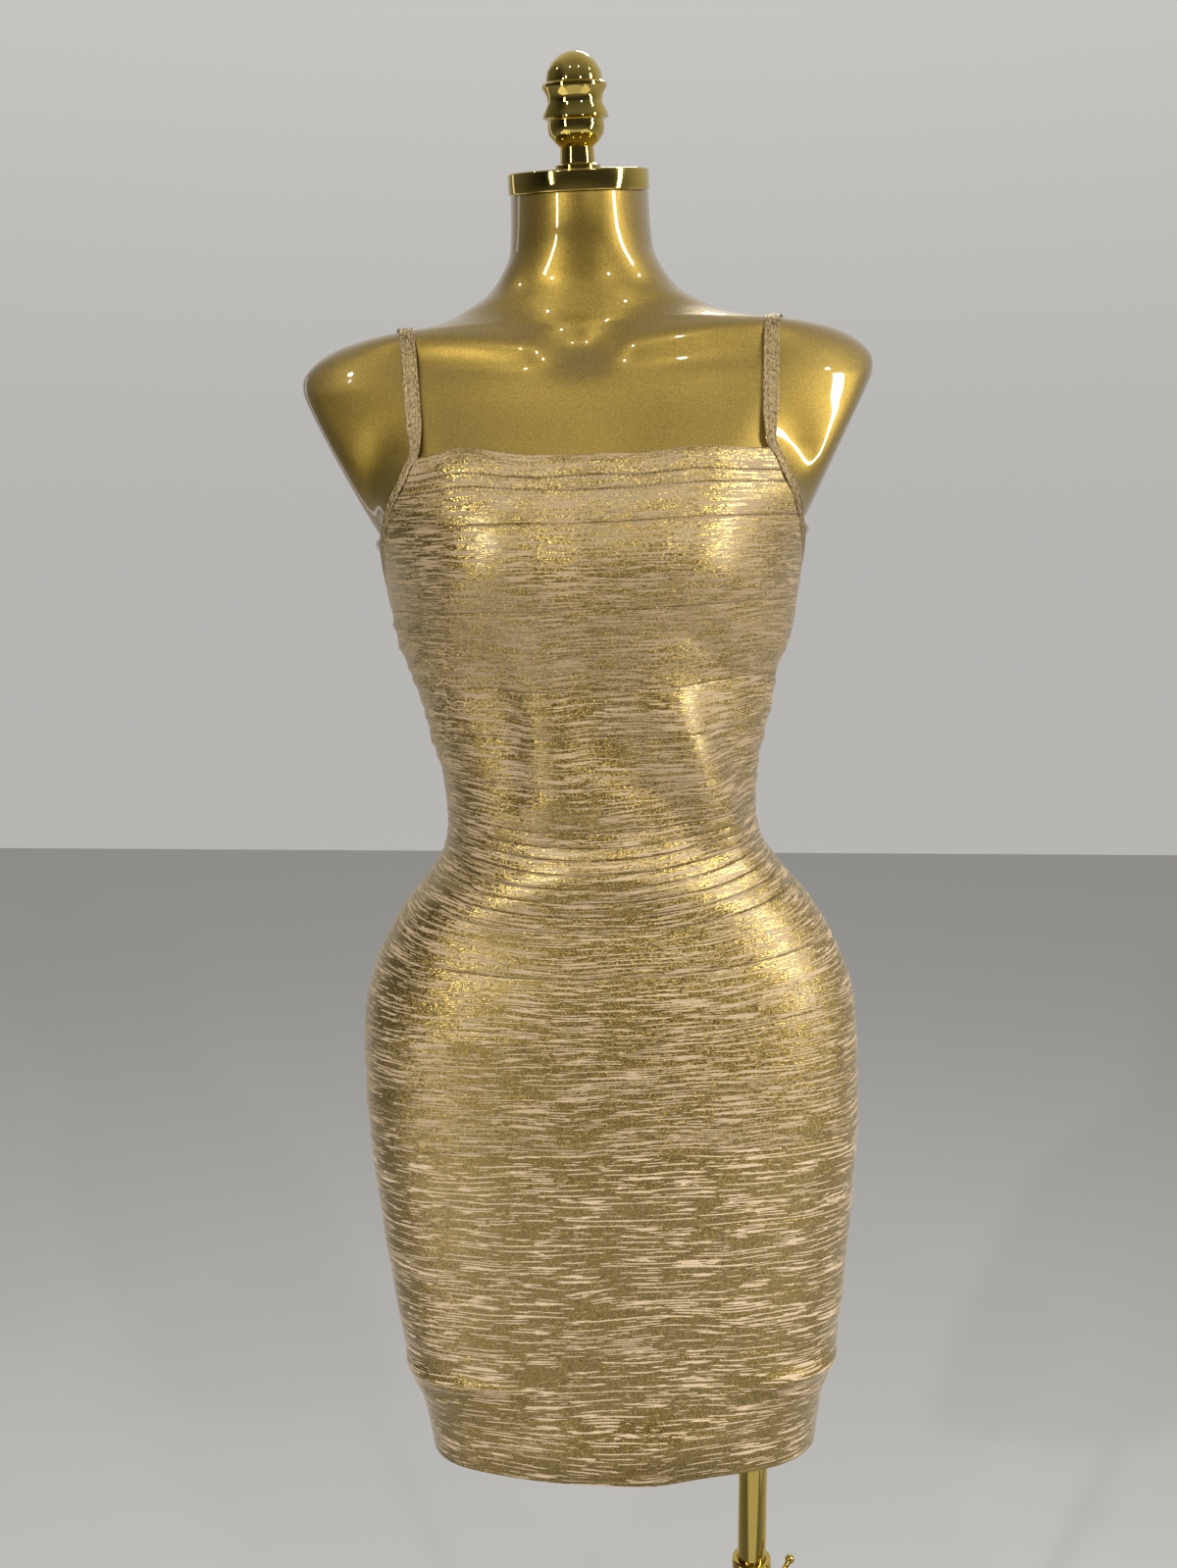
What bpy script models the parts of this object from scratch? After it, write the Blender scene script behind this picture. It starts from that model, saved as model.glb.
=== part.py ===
"""A bandage-knit bodycon dress on a limbless dress form with its stand.

Metres, +Z up. The origin is the centre of the base plate's underside, the figure's front faces -Y and its
left side is +X. A place on the figure is given by its height and its turn, the angle round the figure from
the front centre (0) over its left side (90 degrees) to the back centre (180 degrees).
"""
from math import copysign, cos, degrees, exp, pi, radians, sin, tan

import bmesh
import bpy
import numpy as np
from mathutils import Matrix, Vector

for leftover in list(bpy.data.objects):
    bpy.data.objects.remove(leftover, do_unlink=True)

# ---- Driving sizes -------------------------------------------------------------------------------------

GAP = 0.0003  # between pieces that meet

# The figure hangs on its pole a little askew: it leans to its right, about its axis at the hem's height.
LEAN = radians(2.1)
HEM_HEIGHT = 0.62
FIGURE_X = -0.004

# Horizontal sections of the figure, from the neck down. The form is made to these sizes and the dress lies
# outside them. The rows under FORM_BOTTOM are the free end of the skirt.
SECTION_COLUMNS = ("height", "half_width", "front", "back", "squareness")
SECTIONS = (
    (1.5150, 0.0450, 0.0590, 0.0310, 2.0),
    (1.4842, 0.0458, 0.0560, 0.0360, 2.0),
    (1.4681, 0.0472, 0.0530, 0.0430, 2.0),
    (1.4525, 0.0540, 0.0510, 0.0530, 2.0),
    (1.4400, 0.0640, 0.0500, 0.0620, 2.0),
    (1.4288, 0.0827, 0.0510, 0.0690, 2.0),
    (1.4230, 0.0966, 0.0520, 0.0710, 2.0),
    (1.4172, 0.1240, 0.0535, 0.0730, 2.0),
    (1.4138, 0.1520, 0.0545, 0.0745, 2.0),
    (1.4070, 0.1720, 0.0580, 0.0780, 2.0),
    (1.3975, 0.1850, 0.0620, 0.0820, 2.0),
    (1.3865, 0.1925, 0.0670, 0.0860, 2.0),
    (1.3757, 0.1960, 0.0720, 0.0900, 2.1),
    (1.3591, 0.1960, 0.0780, 0.0950, 2.1),
    (1.3385, 0.1900, 0.0850, 0.1000, 2.1),
    (1.3173, 0.1760, 0.0910, 0.1030, 2.1),
    (1.2978, 0.1590, 0.0950, 0.1040, 2.1),
    (1.2800, 0.1450, 0.0970, 0.1030, 2.1),
    (1.2640, 0.1380, 0.0980, 0.1010, 2.1),
    (1.2408, 0.1335, 0.0970, 0.0970, 2.1),
    (1.2143, 0.1285, 0.0940, 0.0920, 2.1),
    (1.1876, 0.1175, 0.0890, 0.0870, 2.1),
    (1.1540, 0.1100, 0.0850, 0.0800, 2.1),
    (1.1200, 0.1035, 0.0825, 0.0760, 2.1),
    (1.0950, 0.1022, 0.0820, 0.0765, 2.1),
    (1.0756, 0.1056, 0.0825, 0.0800, 2.1),
    (1.0535, 0.1197, 0.0840, 0.0870, 2.1),
    (1.0305, 0.1380, 0.0865, 0.0960, 2.2),
    (0.9990, 0.1555, 0.0900, 0.1060, 2.2),
    (0.9595, 0.1673, 0.0925, 0.1160, 2.2),
    (0.9195, 0.1692, 0.0930, 0.1200, 2.2),
    (0.8740, 0.1686, 0.0920, 0.1170, 2.2),
    (0.8259, 0.1647, 0.0900, 0.1090, 2.2),
    (0.7704, 0.1590, 0.0870, 0.0980, 2.2),
    (0.7165, 0.1520, 0.0845, 0.0890, 2.2),
    (0.6922, 0.1468, 0.0835, 0.0850, 2.2),
    (0.6816, 0.1425, 0.0825, 0.0830, 2.2),
    (0.6671, 0.1390, 0.0815, 0.0815, 2.2),
    (0.6480, 0.1362, 0.0800, 0.0800, 2.2),
    (0.6000, 0.1320, 0.0770, 0.0770, 2.2),
)
NECK_TOP = 1.5035
FORM_BOTTOM = 0.684
FORM_BOTTOM_EDGE = 0.006  # radius of the rim round the form's flat underside

# Swells on the front and back: (from the centre, height, forward, spread sideways, spread up, spread down)
BUST = (0.070, 1.262, 0.031, 0.046, 0.050, 0.034)
SEAT = (0.068, 0.915, 0.012, 0.050, 0.060, 0.045)
COLLARBONE = (0.0035, 1.3920, 0.155, 0.009)  # forward, height at the centre, slope, half-thickness
THROAT_HOLLOW = (0.0050, 1.398, 0.013, 0.011)  # depth, height, spread sideways, spread up

# The arms are cut off flat. The cut leans in towards the armpit and is turned a little to the front.
ARM_CUT_TOP = 1.3757
ARM_CUT_X = 0.1870
ARM_CUT_SLOPE = tan(radians(26.5))
ARM_CUT_FACING = tan(radians(6))
ARM_CUT_EDGE = 0.012
ARMPIT = 1.286

NECK_TILT = tan(radians(13.5))  # the neck's top slopes down to the front
NECK_ROOT = 1.440

# The dress: strips of knit, sewn edge to edge all round. Each row is the seam under a strip: its height at
# the front centre, and how much higher it lies at the sides and at the back.
EASE = 0.0016  # from the form to the cloth
CLOTH = 0.0018  # thickness of a strip's wall
SEAM_COLUMNS = ("front", "side_rise", "back_rise", "rows")
SEAMS = (
    (1.3285, 0.0000, 0.000, 0),
    (1.3129, 0.0040, 0.002, 1),
    (1.3051, 0.0060, 0.003, 1),
    (1.2843, 0.0077, 0.004, 2),
    (1.2361, 0.0020, 0.002, 5),
    (1.1867, 0.0030, 0.002, 4),
    (1.1552, 0.0040, 0.002, 1),
    (1.1231, 0.0080, 0.003, 1),
    (1.0928, 0.0120, 0.004, 1),
    (1.0834, 0.0130, 0.005, 1),
    (1.0759, 0.0135, 0.005, 1),
    (1.0666, 0.0140, 0.006, 1),
    (1.0573, 0.0150, 0.006, 1),
    (1.0481, 0.0150, 0.006, 1),
    (1.0390, 0.0150, 0.006, 1),
    (1.0291, 0.0150, 0.006, 1),
    (1.0000, 0.0100, 0.003, 2),
    (0.9657, 0.0000, -0.004, 2),
    (0.9253, -0.0070, -0.010, 2),
    (0.8848, -0.0100, -0.014, 2),
    (0.8344, -0.0130, -0.018, 1),
    (0.7837, -0.0150, -0.021, 1),
    (0.7421, -0.0160, -0.022, 1),
    (0.6970, -0.0155, -0.021, 2),
    (0.6505, -0.0118, -0.020, 3),
)
# Soft waves along a seam: (number of the seam, turn, half-length round, rise). Seam 0 is the neckline.
WAVE_COLUMNS = ("seam", "turn", "turn_spread", "rise")
WAVES = (
    (0, -21, 4.5, 0.0036),
    (0, 2, 9, -0.0040),
    (0, 26, 9, -0.0018),
    (0, 170, 14, -0.0030),
    (4, -32, 12, -0.0010),
    (4, 30, 12, -0.0014),
    (24, -40, 12, 0.0012),
    (24, 6.5, 6.5, -0.0030),
    (24, 26, 9, 0.0010),
    (24, 160, 14, -0.0016),
    (24, 205, 12, 0.0014),
)
FRONT_COLUMNS = 20
BACK_COLUMNS = 20

# The side seams' turns. The right one is drawn forward under the bust.
SIDE_SEAM_COLUMNS = ("height", "right", "left")
SIDE_SEAMS = (
    (1.240, -88, 92),
    (1.222, -66, 90),
    (1.205, -53, 88),
    (1.187, -51, 87),
    (1.170, -54, 86),
    (1.154, -60, 86),
    (1.138, -72, 85),
    (1.120, -81, 84),
    (1.095, -84, 85),
    (0.600, -86, 86),
)

# The armholes, from the corners of the neckline to the underarm, and the straps. The dress is turned and
# shifted a little to the figure's left.
ARMHOLE_COLUMNS = ("height", "front_turn", "back_turn")
ARMHOLE = (
    (1.3305, 34.8, 145),
    (1.3130, 42, 139),
    (1.2960, 53, 128),
    (1.2830, 63, 118),
    (1.2650, 76, 105),
    (1.2530, 83, 98),
    (1.2440, 90, 90),
)
DRESS_TURN = radians(2)
DRESS_SHIFT = 0.0035
BINDING_WIDTH = 0.006
BINDING_GAP = 0.0009  # from its edge to the ends of the strips
STRAP_WIDTH = 0.010
STRAP_RIDGE = 0.1239  # from the dress's middle, on top of the shoulder
STRAP_CLOTH = 0.0013
STRAP_EASE = 0.0009
STRAP_LIFT = 0.0016  # how far a strap stands off the figure beside its corners
STRAP_FOOT = 1.333
STRAP_FULL = 1.352  # where a strap has its whole width
STRAP_POINTS = 30
ARMHOLE_POINTS = 15  # from a corner to the underarm

# Soft folds pushed out of the cloth: (turn, height, half-length round, half-width up, slant, depth)
FOLD_COLUMNS = ("turn", "height", "turn_spread", "height_spread", "slant", "depth")
FOLDS = (
    (-27, 1.145, 9, 0.045, 0.0, 0.0022),
    (30, 1.140, 10, 0.040, -0.0030, 0.0024),
    (-74, 1.188, 12, 0.010, 0.0006, 0.0022),
    (-70, 1.160, 12, 0.008, 0.0005, 0.0018),
    (80, 1.170, 10, 0.010, -0.0005, 0.0020),
    (-52, 0.702, 26, 0.006, 0.0001, 0.0020),
    (58, 0.706, 22, 0.006, -0.0001, 0.0018),
    (176, 1.128, 34, 0.009, 0.0, 0.0030),
    (188, 1.098, 30, 0.008, 0.0, 0.0026),
    (130, 0.830, 9, 0.060, 0.0, 0.0018),
    (232, 0.840, 9, 0.055, 0.0, 0.0018),
    (182, 0.704, 30, 0.006, 0.0, 0.0020),
)

# The pole runs up into the figure's left side, off its middle.
POLE_X = 0.090
POLE_RADIUS = 0.0105
POLE_BOTTOM = 0.160
TUBE_RADIUS = 0.0120
TUBE_BORE = POLE_RADIUS + GAP
TUBE_TOP = 0.5385
COLLAR_RADIUS = 0.0142
COLLAR_HEIGHT = 0.022
LOCK_HEIGHT = 0.531
LOCK_TURN = radians(-40)  # the screw points to the figure's left and forward
LOCK_TILT = radians(57)
LOCK_BORE = 0.0032
LOCK_SHAFT = 0.0026
LOCK_BOSS_END = 0.0185  # from the pole's axis
LOCK_HEAD = 0.0240
LOCK_END = 0.0275
LOCK_BAR_HALF = 0.0170
LOCK_BAR_RADIUS = 0.0020
FLANGE_RADIUS = 0.030
FLANGE_THICKNESS = 0.006
SLEEVE_LENGTH = 0.024
SLEEVE_BORE = POLE_RADIUS + 0.0012
SLEEVE_RADIUS = 0.0155
BASE_RADIUS = 0.170
BASE_THICKNESS = 0.012
SOCKET_RADIUS = 0.030
SOCKET_TOP = 0.040

CAP_RADIUS = 0.0456
CAP_THICKNESS = 0.0130
FINIAL_COLUMNS = ("height", "radius")
FINIAL = (
    (0.0000, 0.0132),
    (0.0012, 0.0146),
    (0.0034, 0.0146),
    (0.0048, 0.0112),
    (0.0140, 0.0107),
    (0.0168, 0.0140),
    (0.0215, 0.0176),
    (0.0262, 0.0182),
    (0.0296, 0.0178),
    (0.0312, 0.0211),
    (0.0332, 0.0207),
    (0.0395, 0.0173),
    (0.0440, 0.0178),
    (0.0486, 0.0206),
    (0.0506, 0.0204),
    (0.0520, 0.0181),
    (0.0575, 0.0172),
    (0.0630, 0.0140),
    (0.0674, 0.0085),
    (0.0692, 0.0036),
    (0.0695, 0.0000),
)


# ---- Materials -----------------------------------------------------------------------------------------


def finish(name, colour, roughness, metallic):
    """One material of its own for a piece."""
    material = bpy.data.materials.new(name)
    material.use_nodes = True
    shader = material.node_tree.nodes["Principled BSDF"]
    shader.inputs["Base Color"].default_value = (*colour, 1.0)
    shader.inputs["Roughness"].default_value = roughness
    shader.inputs["Metallic"].default_value = metallic
    material.diffuse_color = (*colour, 1.0)
    return material


FOIL_KNIT = ((0.42, 0.32, 0.15), 0.42, 0.55)
GOLD_PAINT = ((0.40, 0.29, 0.09), 0.25, 0.60)
POLISHED_GOLD = ((0.78, 0.60, 0.20), 0.12, 1.0)


# ---- Meshes --------------------------------------------------------------------------------------------


def add_piece(name, points, faces, look, parent):
    """An object from points and faces, with its own material."""
    mesh = bpy.data.meshes.new(name)
    mesh.from_pydata([tuple(point) for point in points], [], faces)
    mesh.update()
    return add_object(name, mesh, look, parent)


def add_object(name, mesh, look, parent):
    piece = bpy.data.objects.new(name, mesh)
    bpy.context.scene.collection.objects.link(piece)
    piece.parent = parent
    mesh.materials.append(finish(name, *look))
    mesh.shade_smooth()
    mesh.set_sharp_from_angle(angle=radians(40))
    return piece


def add_empty(name, parent, matrix):
    empty = bpy.data.objects.new(name, None)
    bpy.context.scene.collection.objects.link(empty)
    empty.parent = parent
    empty.matrix_local = matrix
    return empty


def halved(points, corners):
    """A four-sided face as two triangles, split along its shorter diagonal."""
    a, b, c, d = corners
    if (points[a] - points[c]).length <= (points[b] - points[d]).length:
        return [[a, b, c], [a, c, d]]
    return [[a, b, d], [b, c, d]]


def grid_wall(name, outer, inner, look, parent):
    """A closed wall between an outer and an inner grid of points, given as rows from the top down."""
    rows, columns = len(outer), len(outer[0])
    points = [point for row in (*outer, *inner) for point in row]

    def at(layer, row, column):
        return (layer * rows + row) * columns + column

    quads = []
    for row in range(rows - 1):
        for column in range(columns - 1):
            corners = ((row, column), (row + 1, column), (row + 1, column + 1), (row, column + 1))
            quads.append([at(0, *corner) for corner in corners])
            quads.append([at(1, *corner) for corner in corners[::-1]])
    last_row, last_column = rows - 1, columns - 1
    for column in range(last_column):
        after = column + 1
        top = [at(0, 0, column), at(0, 0, after), at(1, 0, after), at(1, 0, column)]
        bottom = [at(0, last_row, after), at(0, last_row, column), at(1, last_row, column), at(1, last_row, after)]
        quads += [top, bottom]
    for row in range(last_row):
        below = row + 1
        first = [at(0, below, 0), at(0, row, 0), at(1, row, 0), at(1, below, 0)]
        last = [(0, row), (0, below), (1, below), (1, row)]
        quads += [first, [at(layer, place, last_column) for layer, place in last]]
    faces = [half for quad in quads for half in halved(points, quad)]
    return add_piece(name, points, faces, look, parent)


def turned(name, profile, steps, look, parent):
    """A piece turned about Z from (radius, height) points that start and end on the axis, bottom first."""
    work = bmesh.new()
    chain = [work.verts.new((radius, 0.0, height)) for radius, height in profile]
    edges = [work.edges.new(pair) for pair in zip(chain, chain[1:])]
    bmesh.ops.spin(
        work, geom=chain + edges, cent=(0, 0, 0), axis=(0, 0, 1), angle=2 * pi, steps=steps, use_merge=True
    )
    bmesh.ops.remove_doubles(work, verts=work.verts, dist=1e-6)
    bmesh.ops.recalc_face_normals(work, faces=work.faces)
    mesh = bpy.data.meshes.new(name)
    work.to_mesh(mesh)
    work.free()
    return add_object(name, mesh, look, parent)


def ring_profile(outer, bore, bottom, top):
    """The closed (radius, height) outline of a tube."""
    return [(bore, bottom), (outer, bottom), (outer, top), (bore, top), (bore, bottom)]


# ---- The figure's surface ------------------------------------------------------------------------------


def monotone_slopes(heights, values):
    """Slopes of a smooth curve through the rows that doesn't overshoot between them."""
    steps = np.diff(heights)
    rises = np.diff(values) / steps
    slopes = np.zeros(len(values))
    slopes[0], slopes[-1] = rises[0], rises[-1]
    for row in range(1, len(values) - 1):
        before, after = rises[row - 1], rises[row]
        if before * after > 0:
            near, far = 2 * steps[row] + steps[row - 1], steps[row] + 2 * steps[row - 1]
            slopes[row] = (near + far) / (near / before + far / after)
    return slopes


def smooth_curve(heights, values, fine):
    """The same curve read at many heights."""
    slopes = monotone_slopes(heights, values)
    row = np.clip(np.searchsorted(heights, fine) - 1, 0, len(heights) - 2)
    step = heights[row + 1] - heights[row]
    t = (fine - heights[row]) / step
    start, end = values[row], values[row + 1]
    bend = t * t * (3 - 2 * t)
    return (
        start * (1 - bend)
        + end * bend
        + step * slopes[row] * t * (1 - t) ** 2
        - step * slopes[row + 1] * t * t * (1 - t)
    )


section_rows = np.array(SECTIONS[::-1])
FINE_HEIGHTS = np.arange(section_rows[0, 0], section_rows[-1, 0], 0.0005)
FINE_SECTIONS = np.stack(
    [smooth_curve(section_rows[:, 0], section_rows[:, k], FINE_HEIGHTS) for k in range(1, 5)], axis=1
)


def section(height):
    """(half_width, front, back, squareness) at a height."""
    place = (height - FINE_HEIGHTS[0]) / 0.0005
    row = min(max(int(place), 0), len(FINE_HEIGHTS) - 2)
    share = min(max(place - row, 0.0), 1.0)
    return FINE_SECTIONS[row] * (1 - share) + FINE_SECTIONS[row + 1] * share


def bell(distance, spread):
    return exp(-0.5 * (distance / spread) ** 2)


def swell(shape, x, height):
    """How far a pair of soft swells stands out at a place."""
    centre, level, forward, sideways, up, down = shape
    tall = bell(height - level, up if height > level else down)
    return forward * tall * (bell(x - centre, sideways) + bell(x + centre, sideways))


def front_shape(x, height):
    """What stands forward of the plain front: bust, collarbones and the hollow of the throat."""
    thrust, level, slope, thickness = COLLARBONE
    reach = min(max((abs(x) - 0.012) / 0.02, 0.0), 1.0) * min(max((0.150 - abs(x)) / 0.04, 0.0), 1.0)
    bones = thrust * reach * bell(height - level - slope * abs(x), thickness)
    depth, hollow_height, sideways, up = THROAT_HOLLOW
    hollow = depth * bell(x, sideways) * bell(height - hollow_height, up)
    return swell(BUST, x, height) + bones - hollow


def soft_least(a, b, edge):
    near = max(edge - abs(a - b), 0.0) / edge
    return min(a, b) - 0.25 * edge * near * near


def arm_cut(height, y):
    """How far out the flat cut of the arm lies."""
    plane = ARM_CUT_X - (ARM_CUT_TOP - height) * ARM_CUT_SLOPE + y * ARM_CUT_FACING
    return plane + 3.0 * max(ARMPIT - height, 0.0)


def figure_point(height, turn):
    """The point of the figure's surface at a height and a turn in radians."""
    half_width, front, back, squareness = section(height)
    across, along = sin(turn), cos(turn)
    power = 2.0 / squareness
    x = half_width * copysign(abs(across) ** power, across)
    depth = abs(along) ** power
    if along > 0:
        y = -front * depth - front_shape(x, height) * along**0.6
    else:
        y = back * depth + swell(SEAT, x, height) * abs(along) ** 0.6
    x = copysign(soft_least(abs(x), arm_cut(height, y), ARM_CUT_EDGE), x)
    rise = min(max((height - NECK_ROOT) / (NECK_TOP - NECK_ROOT), 0.0), 1.0)
    return Vector((x, y, height + y * NECK_TILT * rise * rise * (3 - 2 * rise)))


def figure_normal(height, turn):
    """The outward direction there."""
    step, swing = 0.001, radians(1.0)
    up = figure_point(height + step, turn) - figure_point(height - step, turn)
    around = figure_point(height, turn + swing) - figure_point(height, turn - swing)
    return around.cross(up).normalized()


# ---- Where the dress's edges lie -----------------------------------------------------------------------


def table_column(rows, column):
    return np.array([row[column] for row in rows], float)


def read_table(rows, column, height):
    """A column of a table whose rows run from the top down, at a height."""
    return float(np.interp(height, table_column(rows, 0)[::-1], table_column(rows, column)[::-1]))


def seam_height(number, turn):
    """The height of a seam at a turn."""
    front, side_rise, back_rise, _ = SEAMS[number]
    across = sin(turn) ** 2
    height = front + (side_rise * across if cos(turn) > 0 else back_rise + (side_rise - back_rise) * across)
    for seam, where, spread, rise in WAVES:
        if seam == number:
            height += rise * bell((degrees(turn) - where + 180) % 360 - 180, spread)
    return height


def armhole_path(side):
    """(height, turn) of the points along an armhole's binding, from the front corner round to the back."""
    down = np.linspace(ARMHOLE[0][0], ARMHOLE[-1][0], ARMHOLE_POINTS)
    fronts = [(height, read_table(ARMHOLE, 1, height)) for height in down]
    backs = [(height, read_table(ARMHOLE, 2, height)) for height in down[-2::-1]]
    return [(height, side * radians(turn) + DRESS_TURN) for height, turn in fronts + backs]


def top_of_figure(x, y):
    """The height of the shoulder over a point."""
    for height in np.arange(1.440, 1.250, -0.0005):
        half_width, front, back, squareness = section(height)
        if abs(x) >= half_width:
            continue
        depth = (1 - (abs(x) / half_width) ** squareness) ** (1 / squareness)
        if -front * depth - front_shape(x, height) * depth**0.6 <= y <= back * depth:
            return float(height)
    return 1.250


def taut_over_shoulder(side, front, back):
    """A strap's centre line, drawn taut from its back corner to its front one: (point, outward direction)."""
    ridge_x = side * STRAP_RIDGE + DRESS_SHIFT
    ridge_y = (front.y + back.y) / 2
    depths = np.linspace(front.y, back.y, 80)
    across = np.interp(depths, (front.y, ridge_y, back.y), (front.x, ridge_x, back.x))
    heights = [
        max(top_of_figure(x + shift, y) for shift in (-STRAP_WIDTH / 2, 0.0, STRAP_WIDTH / 2))
        for x, y in zip(across, depths)
    ]
    heights[0], heights[-1] = front.z, back.z
    taut = []
    for place in range(len(depths)):
        while len(taut) > 1:
            (y0, z0), (y1, z1) = ((depths[k], heights[k]) for k in taut[-2:])
            if (y1 - y0) * (heights[place] - z0) - (z1 - z0) * (depths[place] - y0) < 0:
                break
            taut.pop()
        taut.append(place)
    y, z = depths[taut], np.array(heights)[taut]
    lengths = np.concatenate([[0.0], np.cumsum(np.hypot(np.diff(y), np.diff(z)))])
    line = []
    for length in np.linspace(lengths[-1], 0.0, STRAP_POINTS + 2)[1:-1]:
        at_y, at_z = np.interp(length, lengths, y), np.interp(length, lengths, z)
        before, after = max(length - 0.004, 0.0), min(length + 0.004, lengths[-1])
        run = np.interp(after, lengths, y) - np.interp(before, lengths, y)
        climb = np.interp(after, lengths, z) - np.interp(before, lengths, z)
        at_x = np.interp(at_y, (front.y, ridge_y, back.y), (front.x, ridge_x, back.x))
        line.append((Vector((at_x, at_y, at_z)), Vector((0.0, -climb, run)).normalized()))
    return line


def smoothed(vectors, passes):
    """A closed run of vectors, each averaged with its neighbours."""
    for _ in range(passes):
        vectors = [
            (vectors[k - 1] + vectors[k] * 2 + vectors[(k + 1) % len(vectors)]) / 4 for k in range(len(vectors))
        ]
    return vectors


def strap_path(side):
    """A strap and its armhole's binding, as one closed run of (point, outward, sideways, share) from the front
    corner, where the share goes from 0 for the binding to 1 for the strap's whole width."""
    arm = armhole_path(side)
    points = [figure_point(*place) for place in arm]
    directions = [figure_normal(*place) for place in arm]
    lift = Vector((0, STRAP_LIFT, 0))
    over = taut_over_shoulder(side, points[0] - lift, points[-1] + lift)
    points += [point for point, _ in over]
    directions = smoothed(directions + [direction for _, direction in over], 3)
    path = []
    for place, point in enumerate(points):
        along = (points[(place + 1) % len(points)] - points[place - 1]).normalized()
        outward = (directions[place] - along * directions[place].dot(along)).normalized()
        share = min(max((point.z - STRAP_FOOT) / (STRAP_FULL - STRAP_FOOT), 0.0), 1.0)
        path.append((point, outward, along.cross(outward) * side, share))
    return path


def beside(height, turn, offset):
    """(height, turn) of the surface's point nearest to a place a little off one of its points."""
    step, swing = 0.001, radians(1.0)
    up = (figure_point(height + step, turn) - figure_point(height - step, turn)) / (2 * step)
    around = (figure_point(height, turn + swing) - figure_point(height, turn - swing)) / (2 * swing)
    up_up, up_around, around_around = up.dot(up), up.dot(around), around.dot(around)
    climb, swing_by = up.dot(offset), around.dot(offset)
    scale = up_up * around_around - up_around**2
    return (
        height + (climb * around_around - swing_by * up_around) / scale,
        turn + (swing_by * up_up - climb * up_around) / scale,
    )


def panel_edge(side):
    """Where the strips end beside the binding, as (height, turn) rows for the front and for the back."""
    rows = []
    for (height, turn), (_, _, sideways, _) in zip(armhole_path(side), STRAP_PATHS[side]):
        rows.append(beside(height, turn, sideways * (BINDING_WIDTH / 2 + BINDING_GAP)))
    lowest = min(range(len(rows)), key=lambda row: rows[row][0])
    return rows[: lowest + 1], rows[lowest:][::-1]


STRAP_PATHS = {side: strap_path(side) for side in (-1, 1)}
PANEL_EDGES = {side: panel_edge(side) for side in (-1, 1)}
UNDERARM = {side: PANEL_EDGES[side][0][-1][0] for side in (-1, 1)}


def side_seam(side, height):
    return radians(read_table(SIDE_SEAMS, 1 if side < 0 else 2, height))


def strip_end(side, level, front):
    """The turn at which a strip's row ends: at the side seam, or at the armhole's binding above it."""

    def edge(turn):
        height = level(side * turn)
        if height <= UNDERARM[side]:
            half_gap = GAP / 2 / section(height)[0]
            return side * side_seam(side, height) + (-half_gap if front else half_gap)
        rows = PANEL_EDGES[side][0 if front else 1][::-1]
        return side * float(np.interp(height, [row[0] for row in rows], [row[1] for row in rows]))

    near, far = (0.3, 1.75) if front else (0.8, 2.9)
    for _ in range(24):
        middle = (near + far) / 2
        if edge(middle) > middle:
            near = middle
        else:
            far = middle
    return side * (near + far) / 2


def fold(height, turn):
    """How far the soft folds push the cloth out."""
    total = 0.0
    for where, level, round_spread, up_spread, slant, depth in FOLDS:
        apart = (degrees(turn) - where + 180) % 360 - 180
        centre = level + slant * apart
        total += depth * bell(apart, round_spread) * bell(height - centre, up_spread)
    return total


def cloth_points(height, turn):
    """(outer, inner) points of the dress's wall."""
    base = figure_point(height, turn)
    outward = figure_normal(height, turn)
    inner = base + outward * (EASE + fold(height, turn))
    return inner + outward * CLOTH, inner


# ---- Pieces of the dress -------------------------------------------------------------------------------


def dress_strip(name, number, columns, front, parent):
    """One strip of knit over the front or the back, down to the seam of that number."""
    rows = SEAMS[number][3]
    outer, inner = [], []
    for row in range(rows + 1):
        share = row / rows

        def level(turn):
            return seam_height(number - 1, turn) * (1 - share) + seam_height(number, turn) * share

        right, left = strip_end(-1, level, front), strip_end(1, level, front)
        if not front:
            right, left = left, right + 2 * pi
        nudge = GAP / 2 * (share == 1) - GAP / 2 * (share == 0)
        turns = [right + (left - right) * column / columns for column in range(columns + 1)]
        places = [cloth_points(level(turn) + nudge, turn) for turn in turns]
        outer.append([place[0] for place in places])
        inner.append([place[1] for place in places])
    return grid_wall(name, outer, inner, FOIL_KNIT, parent)


def strap_loop(name, side, parent):
    """A strap that runs on round the armhole as its binding, in one closed loop."""
    outlines = []
    for point, outward, sideways, share in STRAP_PATHS[side]:
        half = sideways * (BINDING_WIDTH + (STRAP_WIDTH - BINDING_WIDTH) * share) / 2
        low = point + outward * (EASE + (STRAP_EASE - EASE) * share)
        high = low + outward * (CLOTH + (STRAP_CLOTH - CLOTH) * share)
        outlines.append([low - half, low + half, high + half, high - half])
    count = len(outlines)
    faces = []
    for ring in range(count):
        after = (ring + 1) % count
        for corner in range(4):
            beside_it = (corner + 1) % 4
            faces.append([ring * 4 + corner, ring * 4 + beside_it, after * 4 + beside_it, after * 4 + corner])
    strap = add_piece(name, [point for outline in outlines for point in outline], faces, FOIL_KNIT, parent)
    face_outwards(strap)
    return strap


def face_outwards(piece):
    work = bmesh.new()
    work.from_mesh(piece.data)
    bmesh.ops.recalc_face_normals(work, faces=work.faces)
    work.to_mesh(piece.data)
    work.free()


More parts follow.
